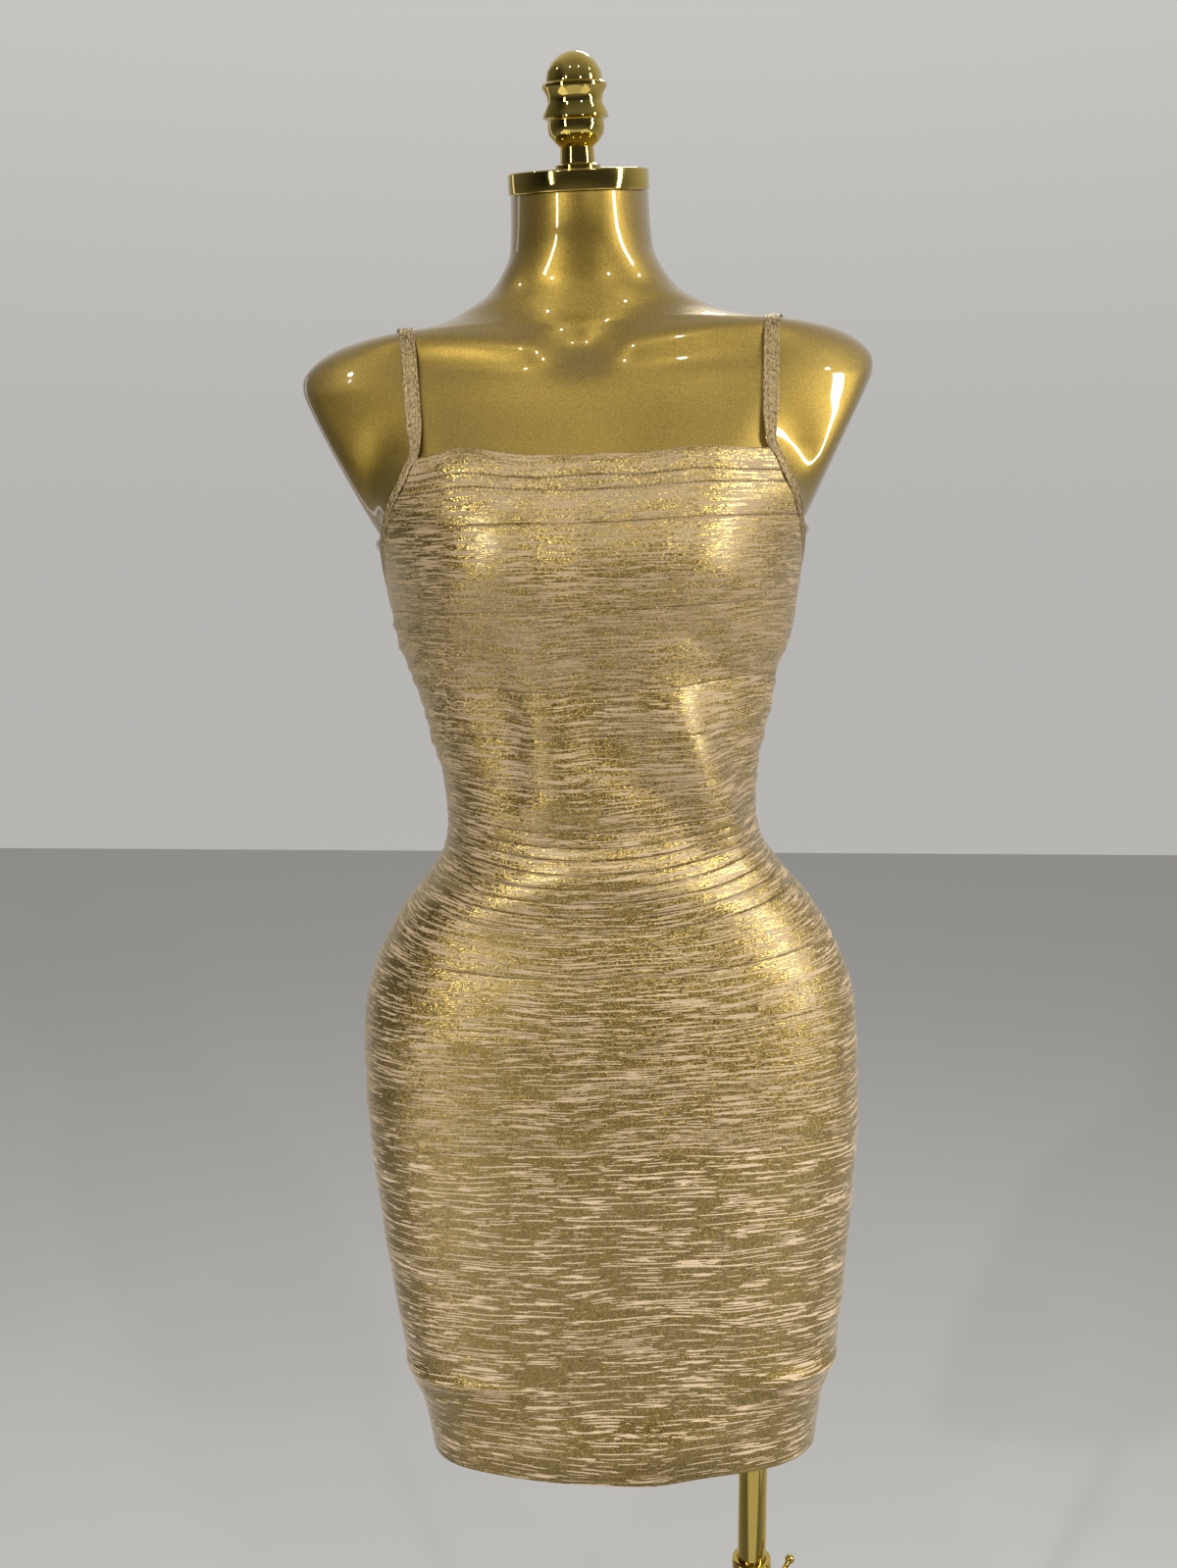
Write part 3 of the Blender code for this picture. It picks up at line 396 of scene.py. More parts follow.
# Millimetres: each seam's height in front, and how much higher it lies at the sides and at the back
SEAMS = (
    (1328.5, 0, 0), (1312.9, 4, 2), (1305.1, 6, 3), (1284.3, 7.7, 4), (1236.1, 2, 2), (1186.7, 3, 2),
    (1155.2, 4, 2), (1123.1, 8, 3), (1092.8, 12, 4), (1083.4, 13, 5), (1075.9, 13.5, 5), (1066.6, 14, 6),
    (1057.3, 15, 6), (1048.1, 15, 6), (1039, 15, 6), (1029.1, 15, 6), (1000, 10, 3), (965.7, 0, -4),
    (925.3, -7, -10), (884.8, -10, -14), (834.4, -13, -18), (783.7, -15, -21), (742.1, -16, -22),
    (697, -15.5, -21), (650.5, -11.8, -20),
)
# Soft waves along a seam: its number, the turn and spread in degrees, and the rise in millimetres
WAVES = (
    (0, -21, 4.5, 3.6), (0, 2, 9, -4), (0, 26, 9, -1.8), (0, 170, 14, -3), (1, -24, 7, 2.2), (1, 2, 10, -1.2),
    (2, -24, 7, 2.2), (2, 2, 10, -1.2), (4, -32, 12, -1), (4, 30, 12, -1.4), (24, -40, 12, 1.2),
    (24, 6.5, 6.5, -3), (24, 26, 9, 1), (24, 160, 14, -1.6), (24, 205, 12, 1.4),
)
# The side seams: height in millimetres, right turn and left turn in degrees
SIDE_SEAMS = (
    (1240, -88, 92), (1222, -66, 90), (1205, -53, 88), (1187, -51, 87), (1170, -54, 86), (1154, -60, 86),
    (1138, -72, 85), (1120, -81, 84), (1095, -84, 85), (600, -86, 86),
)
# The armholes: height in millimetres, turn in front and at the back in degrees
ARMHOLE = (
    (1330.5, 34.8, 145), (1313, 42, 139), (1296, 53, 128), (1283, 63, 118), (1265, 76, 105), (1253, 83, 98),
    (1244, 90, 90),
)
DRESS_TURN = radians(2)  # the dress is put on a little turned to the figure's left
BINDING_WIDTH = 0.006
BINDING_GAP = 0.0009
ARMHOLE_POINTS = 40

# Degrees and millimetres: turn, height, spread round and spread up, slant (the rise for each degree round),
# and how far each fold or crease is pushed out of the cloth
CREASES = (
    # the main folds, which the solids have too
    (-27, 1145, 9, 45, 0, 2.2), (30, 1140, 10, 40, -3, 2.4), (-74, 1188, 12, 10, 0.6, 2.2),
    (-70, 1160, 12, 8, 0.5, 1.8), (80, 1170, 10, 10, -0.5, 2), (-52, 702, 26, 6, 0.1, 2),
    (58, 706, 22, 6, -0.1, 1.8), (176, 1128, 34, 9, 0, 3), (188, 1098, 30, 8, 0, 2.6),
    (130, 830, 9, 60, 0, 1.8), (232, 840, 9, 55, 0, 1.8), (182, 704, 30, 6, 0, 2),
    # soft waves along the neck band
    (-24, 1321, 4.5, 8, 0, 3.8), (-12, 1320, 5, 9, 0, -1), (1, 1318, 4.5, 7, 0, 3.4),
    (12, 1321, 4, 9, 0, -0.9), (23, 1322, 5, 8, 0, 3.6), (160, 1322, 6, 12, 0, 1.2),
    (186, 1320, 7, 12, 0, 1.4),
    # small puckers beside the armhole bindings
    (-46, 1318, 6, 1.6, 1, 1), (-48, 1309, 7, 1.8, 0.9, 1.2), (-52, 1300, 8, 1.8, 0.7, 1),
    (-56, 1291, 7, 1.7, 0.6, 1.2), (-60, 1282, 7, 2, 0.5, 1), (50, 1312, 7, 1.8, -0.8, 0.9),
    (56, 1298, 7, 2, -0.6, 1.1), (62, 1285, 8, 1.9, -0.5, 0.9), (128, 1306, 8, 2, 0.7, 1.1),
    (234, 1304, 8, 2, -0.7, 1.1), (240, 1290, 7, 1.8, -0.6, 1),
    # gathers behind the right side seam, under the bust
    (-62, 1233.5, 11, 2, 0.3, 1.3), (-72, 1227, 9, 1.7, -0.2, 1.5), (-60, 1220.5, 8, 1.9, 0.45, 1.6),
    (-75, 1215, 13, 2.2, 0.1, 1.4), (-58, 1208.5, 6, 1.5, 0.6, 1.5), (-68, 1203, 10, 2, 0.25, 1.8),
    (-57, 1196.5, 5, 1.4, 0.5, 1.4), (-71, 1191.5, 12, 2.1, -0.15, 1.7), (-58, 1185, 6, 1.6, 0.35, 1.6),
    (-66, 1179, 9, 1.8, 0.2, 1.4), (-62, 1172, 8, 2, 0.4, 1.7), (-73, 1166.5, 10, 1.8, -0.1, 1.3),
    (-66, 1159, 7, 1.6, 0.3, 1.5), (-74, 1150.5, 9, 2.1, 0.1, 1.3), (-76, 1140, 7, 1.9, 0.15, 1.1),
    # short ones in front of the same seam, from its stitches
    (-47, 1212, 3.5, 1.6, -0.5, 0.9), (-45, 1201, 3, 1.4, -0.4, 1), (-46, 1189, 4, 1.6, -0.2, 0.8),
    (-48, 1176, 3.5, 1.5, 0.3, 0.9), (-53, 1161, 4.5, 1.7, 0.2, 0.8), (-45, 1214, 1.6, 10, 0, -1),
    # short wrinkles at the left side seam
    (76, 1206, 6, 1.8, -0.4, 1), (72, 1193.5, 7, 2, -0.5, 1.3), (79, 1183, 5, 1.6, -0.2, 1.2),
    (70, 1174.5, 7, 2.1, -0.6, 1.4), (77, 1164, 6, 1.8, -0.3, 1.1), (71, 1154, 8, 2.2, -0.55, 1.3),
    (80, 1144, 5, 1.7, -0.1, 1), (74, 1133, 7, 2, -0.45, 1.2), (79, 1120, 6, 1.9, -0.3, 0.9),
    (96, 1188, 7, 2, 0.4, 1.2), (98, 1168, 8, 1.8, 0.5, 1.4), (95, 1150, 6, 2.1, 0.3, 1.1),
    (99, 1134, 8, 1.9, 0.45, 1.2),
    # soft sweeps over the waist
    (0, 1148, 42, 48, 0, 1.2), (33, 1138, 18, 25, -2.4, 10), (22, 1108, 12, 13, -1.6, -4.6),
    (44, 1212, 14, 13, -1.2, -6), (36, 1218, 16, 11, 0, -1.4), (-13, 1166, 7, 38, 0, 8),
    (-14, 1212, 7, 15, 0, 1.4), (-30, 1150, 7, 50, 0.7, -4), (-27, 1052, 24, 15, 0.3, 7.2),
    (16, 1056, 20, 12, -0.6, 4), (-2, 1086, 20, 7, 0.3, -2.4), (9, 1169, 17, 4.5, 0.2, 0.6),
    (-8, 1116, 16, 11, 0.4, 3.4), (16, 1113, 14, 3.8, 0.3, 0.7), (-22, 1099, 12, 3.5, -0.3, 0.7),
    # over the bust and the ribs
    (-8, 1229, 15, 5, 0.2, 0.7), (22, 1208, 13, 4.6, -0.3, 0.8), (0, 1256, 8, 14, 0, -0.8),
    # drawn lines over the hips and down the skirt
    (-64, 1008, 14, 5, 0.3, 0.9), (58, 988, 16, 4.5, -0.35, 0.9), (-40, 956, 20, 6, 0.15, 0.8),
    (24, 931, 22, 7, -0.2, 0.8), (-70, 902, 12, 5.5, 0.25, 1), (68, 882, 13, 6, -0.3, 1),
    (-12, 857, 24, 7.5, 0.1, 0.8), (44, 824, 18, 6.5, -0.25, 0.9), (-56, 802, 17, 6, 0.3, 0.9),
    (12, 764, 22, 7, 0.1, 0.8), (-34, 730, 15, 5, -0.2, 0.8), (62, 742, 12, 5.2, 0.3, 0.9),
    (-20, 666, 10, 13, 0, 0.9), (22, 664, 9, 14, 0, 1), (-50, 711, 24, 3.6, 0.15, 2.6),
    (-50, 701, 22, 3, 0.15, -1.2), (58, 709, 17, 3.6, -0.2, 2.4), (60, 699, 16, 3, -0.2, -1.2),
    (4, 672, 15, 14, 0.3, 8),
    # the small of the back
    (160, 1152, 14, 3.4, 0.3, 1.3), (198, 1147, 12, 3, -0.35, 1.2), (182, 1138.5, 18, 3.2, 0.05, 1.1),
    (150, 1115, 12, 3, 0.4, 1.3), (212, 1110, 13, 3.4, -0.4, 1.4), (172, 1087, 16, 3, 0.1, 1.2),
    (200, 1079, 12, 2.8, -0.2, 1), (128, 1176, 9, 2.4, 0.45, 1.2), (236, 1182, 10, 2.6, -0.5, 1.2),
    (122, 1154, 8, 2.2, 0.5, 1.1), (242, 1159, 9, 2.2, -0.45, 1.2), (140, 1248, 14, 5, 0.3, 0.9),
    (214, 1238, 15, 5.2, -0.3, 0.9),
    # the back of the skirt
    (180, 980, 9, 30, 0, -1), (150, 872, 16, 6.5, 0.35, 1.2), (212, 860, 15, 6, -0.35, 1.3),
    (176, 826, 20, 7, 0.1, 1.1), (126, 940, 12, 5, 0.3, 0.9), (236, 954, 12, 5.2, -0.3, 0.9),
    (192, 760, 18, 7, -0.2, 1), (152, 728, 14, 5.5, 0.25, 0.9), (168, 668, 10, 14, 0, 1),
    (206, 664, 9, 13, 0, 0.9),
)
FOLD_FLOOR = -0.0011  # no crease goes deeper, or the cloth would sink into the form

# Degrees and millimetres: turn, height, spread round and spread up, the length of the waves into which
# gathers draw the printed streaks, and how far they are drawn
GATHERS = (
    (-70, 1190, 16, 40, 15, 1.2), (-46, 1190, 7, 35, 12, 0.6), (76, 1165, 9, 35, 12, 0.7),
    (100, 1165, 10, 35, 13, 0.9), (238, 1165, 12, 35, 14, 0.9), (180, 1120, 26, 22, 22, 0.6),
    (0, 1140, 50, 60, 45, 0.4), (0, 850, 70, 140, 90, 0.4), (180, 850, 70, 140, 85, 0.4),
)
PATCH_UNITS = (1, MM, 1, MM, MM, MM)


def in_patches(table, height, turn, shape):
    """The sum of a table's soft patches at each place. The shape takes the distances from a patch, up and
    round, and the row's last two columns. It gives the strength there and the distance up it fades with."""
    total = np.zeros(np.shape(height))
    for where, level, spread, up_spread, *rest in np.array(table) / PATCH_UNITS:
        away = apart(turn, where)
        strength, up = shape(height - level, away, *rest)
        total = total + strength * bell(away, spread) * bell(up, up_spread)
    return total


def seam_height(number, turn):
    """The height of a seam at a turn. Seam 0 is the neckline."""
    front, side_rise, back_rise = SEAMS[number]
    across = np.sin(turn) ** 2
    behind = back_rise + (side_rise - back_rise) * across
    height = front + np.where(np.cos(turn) > 0, side_rise * across, behind)
    for seam, where, spread, rise in WAVES:
        if seam == number:
            height = height + rise * bell(apart(turn, where), spread)
    return height / MM


def read_table(rows, column, height):
    """A column of a table whose rows run from the top down, at a height."""
    table = np.array(rows, float)[::-1]
    return np.interp(height, table[:, 0] / MM, table[:, column])


def armhole_path(side):
    """Heights and turns of the points along an armhole's binding, from the front corner round to the back."""
    down = np.linspace(ARMHOLE[0][0], ARMHOLE[-1][0], ARMHOLE_POINTS) / MM
    up = down[-2::-1]
    turns = np.concatenate([read_table(ARMHOLE, 1, down), read_table(ARMHOLE, 2, up)])
    return np.concatenate([down, up]), side * np.radians(turns) + DRESS_TURN


def beside(height, turn, offset):
    """Heights and turns of the surface's points nearest to places a little off some of its points."""
    up, around = surface_slopes(height, turn)
    up_up, up_around, around_around = (up * up).sum(-1), (up * around).sum(-1), (around * around).sum(-1)
    climb, swing_by = (up * offset).sum(-1), (around * offset).sum(-1)
    scale = up_up * around_around - up_around**2
    return (
        height + (climb * around_around - swing_by * up_around) / scale,
        turn + (swing_by * up_up - climb * up_around) / scale,
    )


def gathered(height, turn, along):
    """How far the gathers draw the print up or down."""

    def waves(up, away, length, drawn):
        wave = np.sin(2 * pi * (along / length + 9.0 * height))
        return drawn * (wave + 0.6 * np.sin(2 * pi * (along / length * 1.7 + 0.3))), up

    return in_patches(GATHERS, height, turn, waves)


def panel_edge(side):
    """Where the strips end beside the binding, as (heights, turns) for the front and for the back."""
    heights, turns = armhole_path(side)
    along = unit(np.gradient(figure_points(heights, turns), axis=0))
    sideways = unit(np.cross(along, figure_normals(heights, turns))) * side
    heights, turns = beside(heights, turns, sideways * (BINDING_WIDTH / 2 + BINDING_GAP))
    lowest = int(np.argmin(heights))
    return (heights[lowest::-1], turns[lowest::-1]), (heights[lowest:], turns[lowest:])


PANEL_EDGES = {side: panel_edge(side) for side in (-1, 1)}
SEAM_HALF_GAP = GAP / 2 / 0.13  # as a turn, where the side seams lie about 0.13 m from the figure's middle
FRONT_ENDS, BACK_ENDS = (0.3, 1.75), (0.8, 2.9)  # the turns between which strips end
END_STEPS = 22  # halvings of the search for a strip's end


def strip_end(side, level, front):
    """The turn at which a row of a strip ends: at the side seam, or at the armhole's binding above it."""
    edge_heights, edge_turns = PANEL_EDGES[side][0 if front else 1]
    near, far = FRONT_ENDS if front else BACK_ENDS
    for _ in range(END_STEPS):
        middle = (near + far) / 2
        height = float(level(side * middle))
        if height <= edge_heights[0]:
            edge = side * radians(read_table(SIDE_SEAMS, 1 if side < 0 else 2, height))
            edge += -SEAM_HALF_GAP if front else SEAM_HALF_GAP
        else:
            edge = side * float(np.interp(height, edge_heights, edge_turns))
        near, far = (near, middle) if edge <= middle else (middle, far)
    return side * (near + far) / 2


def push(height, turn):
    """How far the folds and creases push the cloth out."""

    def fold(up, away, slant, depth):
        return depth, up - slant * away

    return np.maximum(in_patches(CREASES, height, turn, fold), FOLD_FLOOR)


# Rows and columns lie closer together at a strip's edges, where the knit rolls in to its seam. The skirt's
# seams are pressed flatter.
ROLL_PLACES = np.array((0.0, 0.0003, 0.0008, 0.0016))
ROLL_DEPTHS = np.array((0.00045, 0.00020, 0.00006, 0.0))
LAST_STRIP = len(SEAMS) - 1
SEAM_ROLLS = (1.0, 0.3, 0.3) + (0.9,) * 14 + (0.3,) * 7 + (0.0,)  # one for each seam
SEAM_GAP = 0.0001  # between neighbouring bands
BAND_PUFF = 0.00035  # how far the middle of a band stands out between its seams
MESH_SIZE = 0.0026
HEM_ROWS = np.array((0.0026, 0.0032, 0.0038))  # more rows, at the hem's stitches
# Heights over the hem's edge, and how far the face dips there (it bulges where the hem is turned)
HEM_RIDGE = ((0.0, 0.0004, 0.0012, 0.0026, 0.0032, 0.0038), (0.0002, -0.0002, -0.0005, -0.0004, 0.0003, 0.0))


def spaced(length):
    """Places across a length, with more of them near both ends."""
    inner = length - 2 * ROLL_PLACES[-1]
    count = max(int(round(inner / MESH_SIZE)), 2)
    middle = ROLL_PLACES[-1] + np.linspace(0, inner, count + 1)[1:-1]
    return np.concatenate([ROLL_PLACES, middle, length - ROLL_PLACES[::-1]])


def summed(steps):
    """How far along each point of a run lies, from the steps between them."""
    return np.concatenate([np.zeros((*steps.shape[:-1], 1)), np.cumsum(steps, axis=-1)], axis=-1)


def rolled(places, length, share=1.0, end_share=1.0):
    """How far the knit's face dips at each place, near the two ends of a length."""
    start, end = (np.interp(near, ROLL_PLACES, ROLL_DEPTHS) for near in (places, length - places))
    return np.maximum(start * share, end * end_share)


def foil_print_group():
    """A worn, streaky foil print on ribbed knit. Places are in metres, along the strip and down the cloth."""
    group, given, out = new_group(
        "foil_print",
        {
            "Place": None, "Streak Spacing": 600, "Streak Run": 28, "Cover": 0.5, "Rib": 0.0015,
            "Foil": (0.6, 0.45, 0.15, 1), "Yarn": (0.6, 0.44, 0.3, 1), "Sparkle": 1.0,
        },
        {"Colour": "Color", "Foil": "Float", "Roughness": "Float", "Height": "Float", "Normal": "Vector"},
    )
    node, step, ramp, scale, mix = node_tools(group)
    along, down, _ = node("SeparateXYZ", Vector=given["Place"])

    def stretched(along_scale, down_scale, detail, roughness=0.5, shift=0.0, down=down):
        """Noise drawn out along the strip."""
        x, y = step("MULTIPLY_ADD", along, along_scale, shift), step("MULTIPLY", down, down_scale)
        return node(
            "TexNoise", {"noise_dimensions": "2D"}, Vector=node("CombineXYZ", X=x, Y=y)[0], Scale=1.0,
            Detail=detail, Roughness=roughness,
        )["Fac"]

    blotch = stretched(11.0, 52.0, 2.0, shift=3.7)
    wander = stretched(10.0, 26.0, 1.0, shift=21.0)
    course = step("MULTIPLY_ADD", wander, 5.0, step("DIVIDE", down, given["Rib"]))
    # the streaks break off at the knit's courses, two of them to a rib
    row = step("MULTIPLY", step("SNAP", course, 0.5), given["Rib"])
    row = step("MULTIPLY_ADD", step("SUBTRACT", down, row), 0.3, row)
    streaks = stretched(given["Streak Run"], given["Streak Spacing"], 3.0, 0.62, down=row)
    rib = step("SINE", step("MULTIPLY", course, 2 * pi))
    gate = step("SUBTRACT", 1.0, given["Cover"])
    gate = step("MULTIPLY_ADD", step("SUBTRACT", blotch, 0.5), 0.17, gate)
    low, high = step("SUBTRACT", gate, 0.012), step("ADD", gate, 0.012)
    foil = ramp(step("MULTIPLY_ADD", rib, 0.055, streaks), low, high)
    # each speck of the foil has its own brightness, roughness and small tilt
    grain = node("TexVoronoi", {"voronoi_dimensions": "2D"}, Vector=given["Place"], Scale=2300.0)["Color"]
    speck = node("SeparateColor", _0=grain)
    least = step("MULTIPLY_ADD", given["Sparkle"], -0.22, 0.48)
    foil_level = step("MULTIPLY_ADD", step("POWER", speck[0], 2.5), given["Sparkle"], least)
    yarn_level = step("MULTIPLY_ADD", rib, 0.1, step("MULTIPLY_ADD", speck[1], 0.3, 0.82))
    rough = step("MULTIPLY_ADD", speck[2], 0.12, 0.23)
    height = step("MULTIPLY_ADD", speck[1], 0.45, step("MULTIPLY", foil, 0.4))
    centred = step("SUBTRACT", grain, (0.5, 0.5, 0.5), kind="VectorMath")
    tilt = scale(centred, step("MULTIPLY", foil, 0.35))
    tilted = step("ADD", node("NewGeometry")["Normal"], tilt, kind="VectorMath")
    feed(
        out, Foil=foil, Normal=step("NORMALIZE", tilted, kind="VectorMath"),
        Colour=mix(foil, scale(given["Yarn"], yarn_level), scale(given["Foil"], foil_level)),
        Roughness=step("MULTIPLY_ADD", step("SUBTRACT", 1.0, foil), 0.40, rough),
        Height=step("MULTIPLY_ADD", rib, 0.25, height),
    )
    return group


def stitch_group():
    """A row of stitches beside a seam, and a broken dark line of painted shade along the seam's groove. The
    edges are the distances to the strip's upper and lower edge.
    """
    group, given, out = new_group(
        "seam_stitches",
        {"Place": None, "Edges": None, "Pitch": 0.0019, "Mark": 0.4, "From Edge": 0.0006, "To Edge": 0.0020},
        {"Marks": "Float", "Groove": "Float"},
    )
    node, step, ramp, _, _ = node_tools(group)
    along = node("SeparateXYZ", Vector=given["Place"])[0]
    upper, lower, _ = node("SeparateXYZ", Vector=given["Edges"])
    mark = step("LESS_THAN", step("FRACT", step("DIVIDE", along, given["Pitch"])), given["Mark"])
    inside = step("GREATER_THAN", upper, given["From Edge"])
    inside = step("MULTIPLY", inside, step("LESS_THAN", upper, given["To Edge"]))
    flat = {"noise_dimensions": "2D"}
    broken = node("TexNoise", flat, Vector=given["Place"], Scale=130.0, Detail=2.0)["Fac"]
    # painted shade: a broken dark line along the seam's groove, where the knit rolls in
    line = ramp(step("MINIMUM", upper, lower), 0.0001, 0.0005, 1.0, 0.0)
    feed(
        out, Marks=step("MULTIPLY", mark, inside),
        Groove=step("MULTIPLY", line, ramp(broken, 0.38, 0.60, 0.25, 1.0)),
    )
    return group


FOIL_COLOUR = (0.86, 0.59, 0.17)
YARN_COLOUR = (0.49, 0.355, 0.195)  # the yarn as over the bust, painted darker there, as in dimmer light
LIT_YARN_COLOUR = (0.86, 0.65, 0.41)  # the yarn painted lighter toward the hem, as in brighter light there
# the colour of the stitch marks and of the painted shade in the seam grooves
SEAM_SHADE = (0.09, 0.06, 0.02, 1)
HEM_TURN = 0.0032  # the hem's edge is turned and sewn down this far up
HEM_STITCHES = (0.0002, 0.0005)  # from full to no darkness, away from the line of stitches
foil_print, seam_stitches = foil_print_group(), stitch_group()


def knit_look(name, spacing, run, cover, rib, bare_and_lit, seam, marks, pitch, from_edge, to_edge):
    """Foil-printed knit with stitches under its upper seam. Seam and marks say how dark they show. As its yarn
    grows barer of foil dust, it is also painted lighter, as in brighter light.
    """
    # painted light: the yarn is made lighter down the dress, where more light falls, by the same share that
    # makes it barer of foil dust
    yarn = [dimmer + (bare - dimmer) * bare_and_lit for dimmer, bare in zip(YARN_COLOUR, LIT_YARN_COLOUR)]
    material, shader = new_look(name, FOIL_COLOUR, 0.4, 0.9)
    tree = material.node_tree
    node, step, ramp, _, mix = node_tools(tree)
    place, edges = (node("UVMap", {"uv_map": label})[0] for label in ("Cloth", "Edges"))
    printed = place_group(
        tree, foil_print, Place=place, Streak_Spacing=spacing, Streak_Run=run, Cover=cover, Rib=rib,
        Foil=(*FOIL_COLOUR, 1), Yarn=(*yarn, 1), Sparkle=1.15 - 0.5 * bare_and_lit,
    )
    sewn = place_group(
        tree, seam_stitches, Place=place, Edges=edges, Pitch=pitch, Mark=0.5, From_Edge=from_edge,
        To_Edge=to_edge,
    )
    dark = step("MULTIPLY", sewn["Marks"], marks)
    # the stitch marks, and the painted shade along the seam's groove
    dark = step("MAXIMUM", dark, step("MULTIPLY", sewn["Groove"], seam))
    if name == "hem_knit":
        from_hem = node("SeparateXYZ", Vector=edges)[1]
        from_hem = step("ABSOLUTE", step("SUBTRACT", from_hem, HEM_TURN))
        dark = step("MAXIMUM", dark, ramp(from_hem, *HEM_STITCHES, 0.30, 0.0))
    height = step("MULTIPLY_ADD", sewn["Marks"], -2.0 * marks, printed["Height"])
    bump = node("Bump", Strength=0.6, Distance=0.00022, Height=height, Normal=printed["Normal"])[0]
    dust = 0.4 * (1 - bare_and_lit)  # the least metal, where foil has rubbed off on the yarn
    feed(
        shader, Base_Color=mix(dark, printed["Colour"], SEAM_SHADE), Roughness=printed["Roughness"],
        Metallic=step("MULTIPLY_ADD", printed["Foil"], 0.95 - dust, dust), Normal=bump,
        Coat_Weight=step("MULTIPLY", printed["Foil"], 0.6), Coat_Roughness=0.30, Coat_IOR=1.6,
    )
    return material


bare_knit, shader = new_look("bare_knit_back", YARN_COLOUR, 0.85, 0.0)
tree = bare_knit.node_tree
place = add_node(tree, "UVMap", {"uv_map": "Cloth"})[0]
ribs = add_node(tree, "TexWave", {"bands_direction": "Y"}, Vector=place, Scale=160.0, Distortion=1.5)["Fac"]
bump = add_node(tree, "Bump", Strength=0.5, Distance=0.0003, Height=ribs)[0]
feed(shader, Sheen_Weight=0.15, Normal=bump)

# The knit's looks down the dress: the last strip, name, streak spacing and run, cover, rib, how bare of foil
# dust the yarn is and how much lighter it is painted, as in more light, how dark the painted shade in the seam
# and the stitches show, and the stitches' pitch and distances from the edge
KNIT_LOOKS = (
    (1, "neckline_knit", 700, 34, 0.52, 0.00145, 0.0, 0.5, 0.0, 0.0026, 0.0002, 0.0012),
    (3, "neck_band_knit", 700, 34, 0.53, 0.00145, 0.0, 0.2, 0.85, 0.0026, 0.0001, 0.0011),
    (5, "bust_knit", 700, 34, 0.53, 0.00145, 0.1, 0.6, 0.40, 0.0018, 0.0006, 0.0019),
    (8, "waist_knit", 640, 32, 0.54, 0.00150, 0.25, 0.6, 0.35, 0.0018, 0.0006, 0.0019),
    (16, "hip_knit", 640, 30, 0.55, 0.00160, 0.35, 0.6, 0.30, 0.0018, 0.0005, 0.0016),
    (19, "upper_skirt_knit", 640, 30, 0.56, 0.00170, 0.45, 0.3, 0.18, 0.0018, 0.0005, 0.0016),
    (23, "lower_skirt_knit", 600, 28, 0.575, 0.00180, 0.9, 0.2, 0.12, 0.0018, 0.0005, 0.0016),
    (24, "hem_knit", 600, 28, 0.59, 0.00180, 0.9, 0.2, 0.12, 0.0018, 0.0005, 0.0016),
)
knit_looks = []  # one for each strip
for last, *row in KNIT_LOOKS:
    knit_looks += [knit_look(*row)] * (last - len(knit_looks))

BACK_PRINT = 7.0  # where the back strips lie on the printed cloth, along it
RUN_STEPS = 161  # points at which a row's length is measured


def strip_grid(number, front):
    """A strip's heights and turns in rows and columns, how far along it each lies from the middle, and the
    places of its rows and columns across and along it."""
    tall = (SEAMS[number - 1][0] - SEAMS[number][0]) / MM
    row_places = spaced(tall)
    if number == LAST_STRIP:
        row_places = np.unique(np.concatenate([row_places, tall - HEM_ROWS]))
    shares = (row_places / tall)[:, None]

    def level(turns, shares=shares):
        return seam_height(number - 1, turns) * (1 - shares) + seam_height(number, turns) * shares

    ends = []
    for share in row_places / tall:
        right, left = (strip_end(side, lambda turn: level(turn, share), front) for side in (-1, 1))
        ends.append((right, left) if front else (left, right + 2 * pi))
    ends, fine = np.array(ends), np.linspace(0, 1, RUN_STEPS)
    turns = ends[:, :1] * (1 - fine) + ends[:, 1:] * fine
    runs = summed(np.linalg.norm(np.diff(figure_points(level(turns), turns), axis=1), axis=-1))
    column_places = spaced(runs[:, -1].mean())
    places = column_places / runs[:, -1].mean() * runs[:, -1:]
    grid_turns = np.array([np.interp(*row) for row in zip(places, runs, turns)])
    middles = [np.interp(0.0 if front else pi, *row) for row in zip(turns, runs)]
    heights = level(grid_turns) - SEAM_GAP / 2 * (shares == 0) + SEAM_GAP / 2 * (shares == 1)
    return heights, grid_turns, places - np.array(middles)[:, None], row_places, column_places


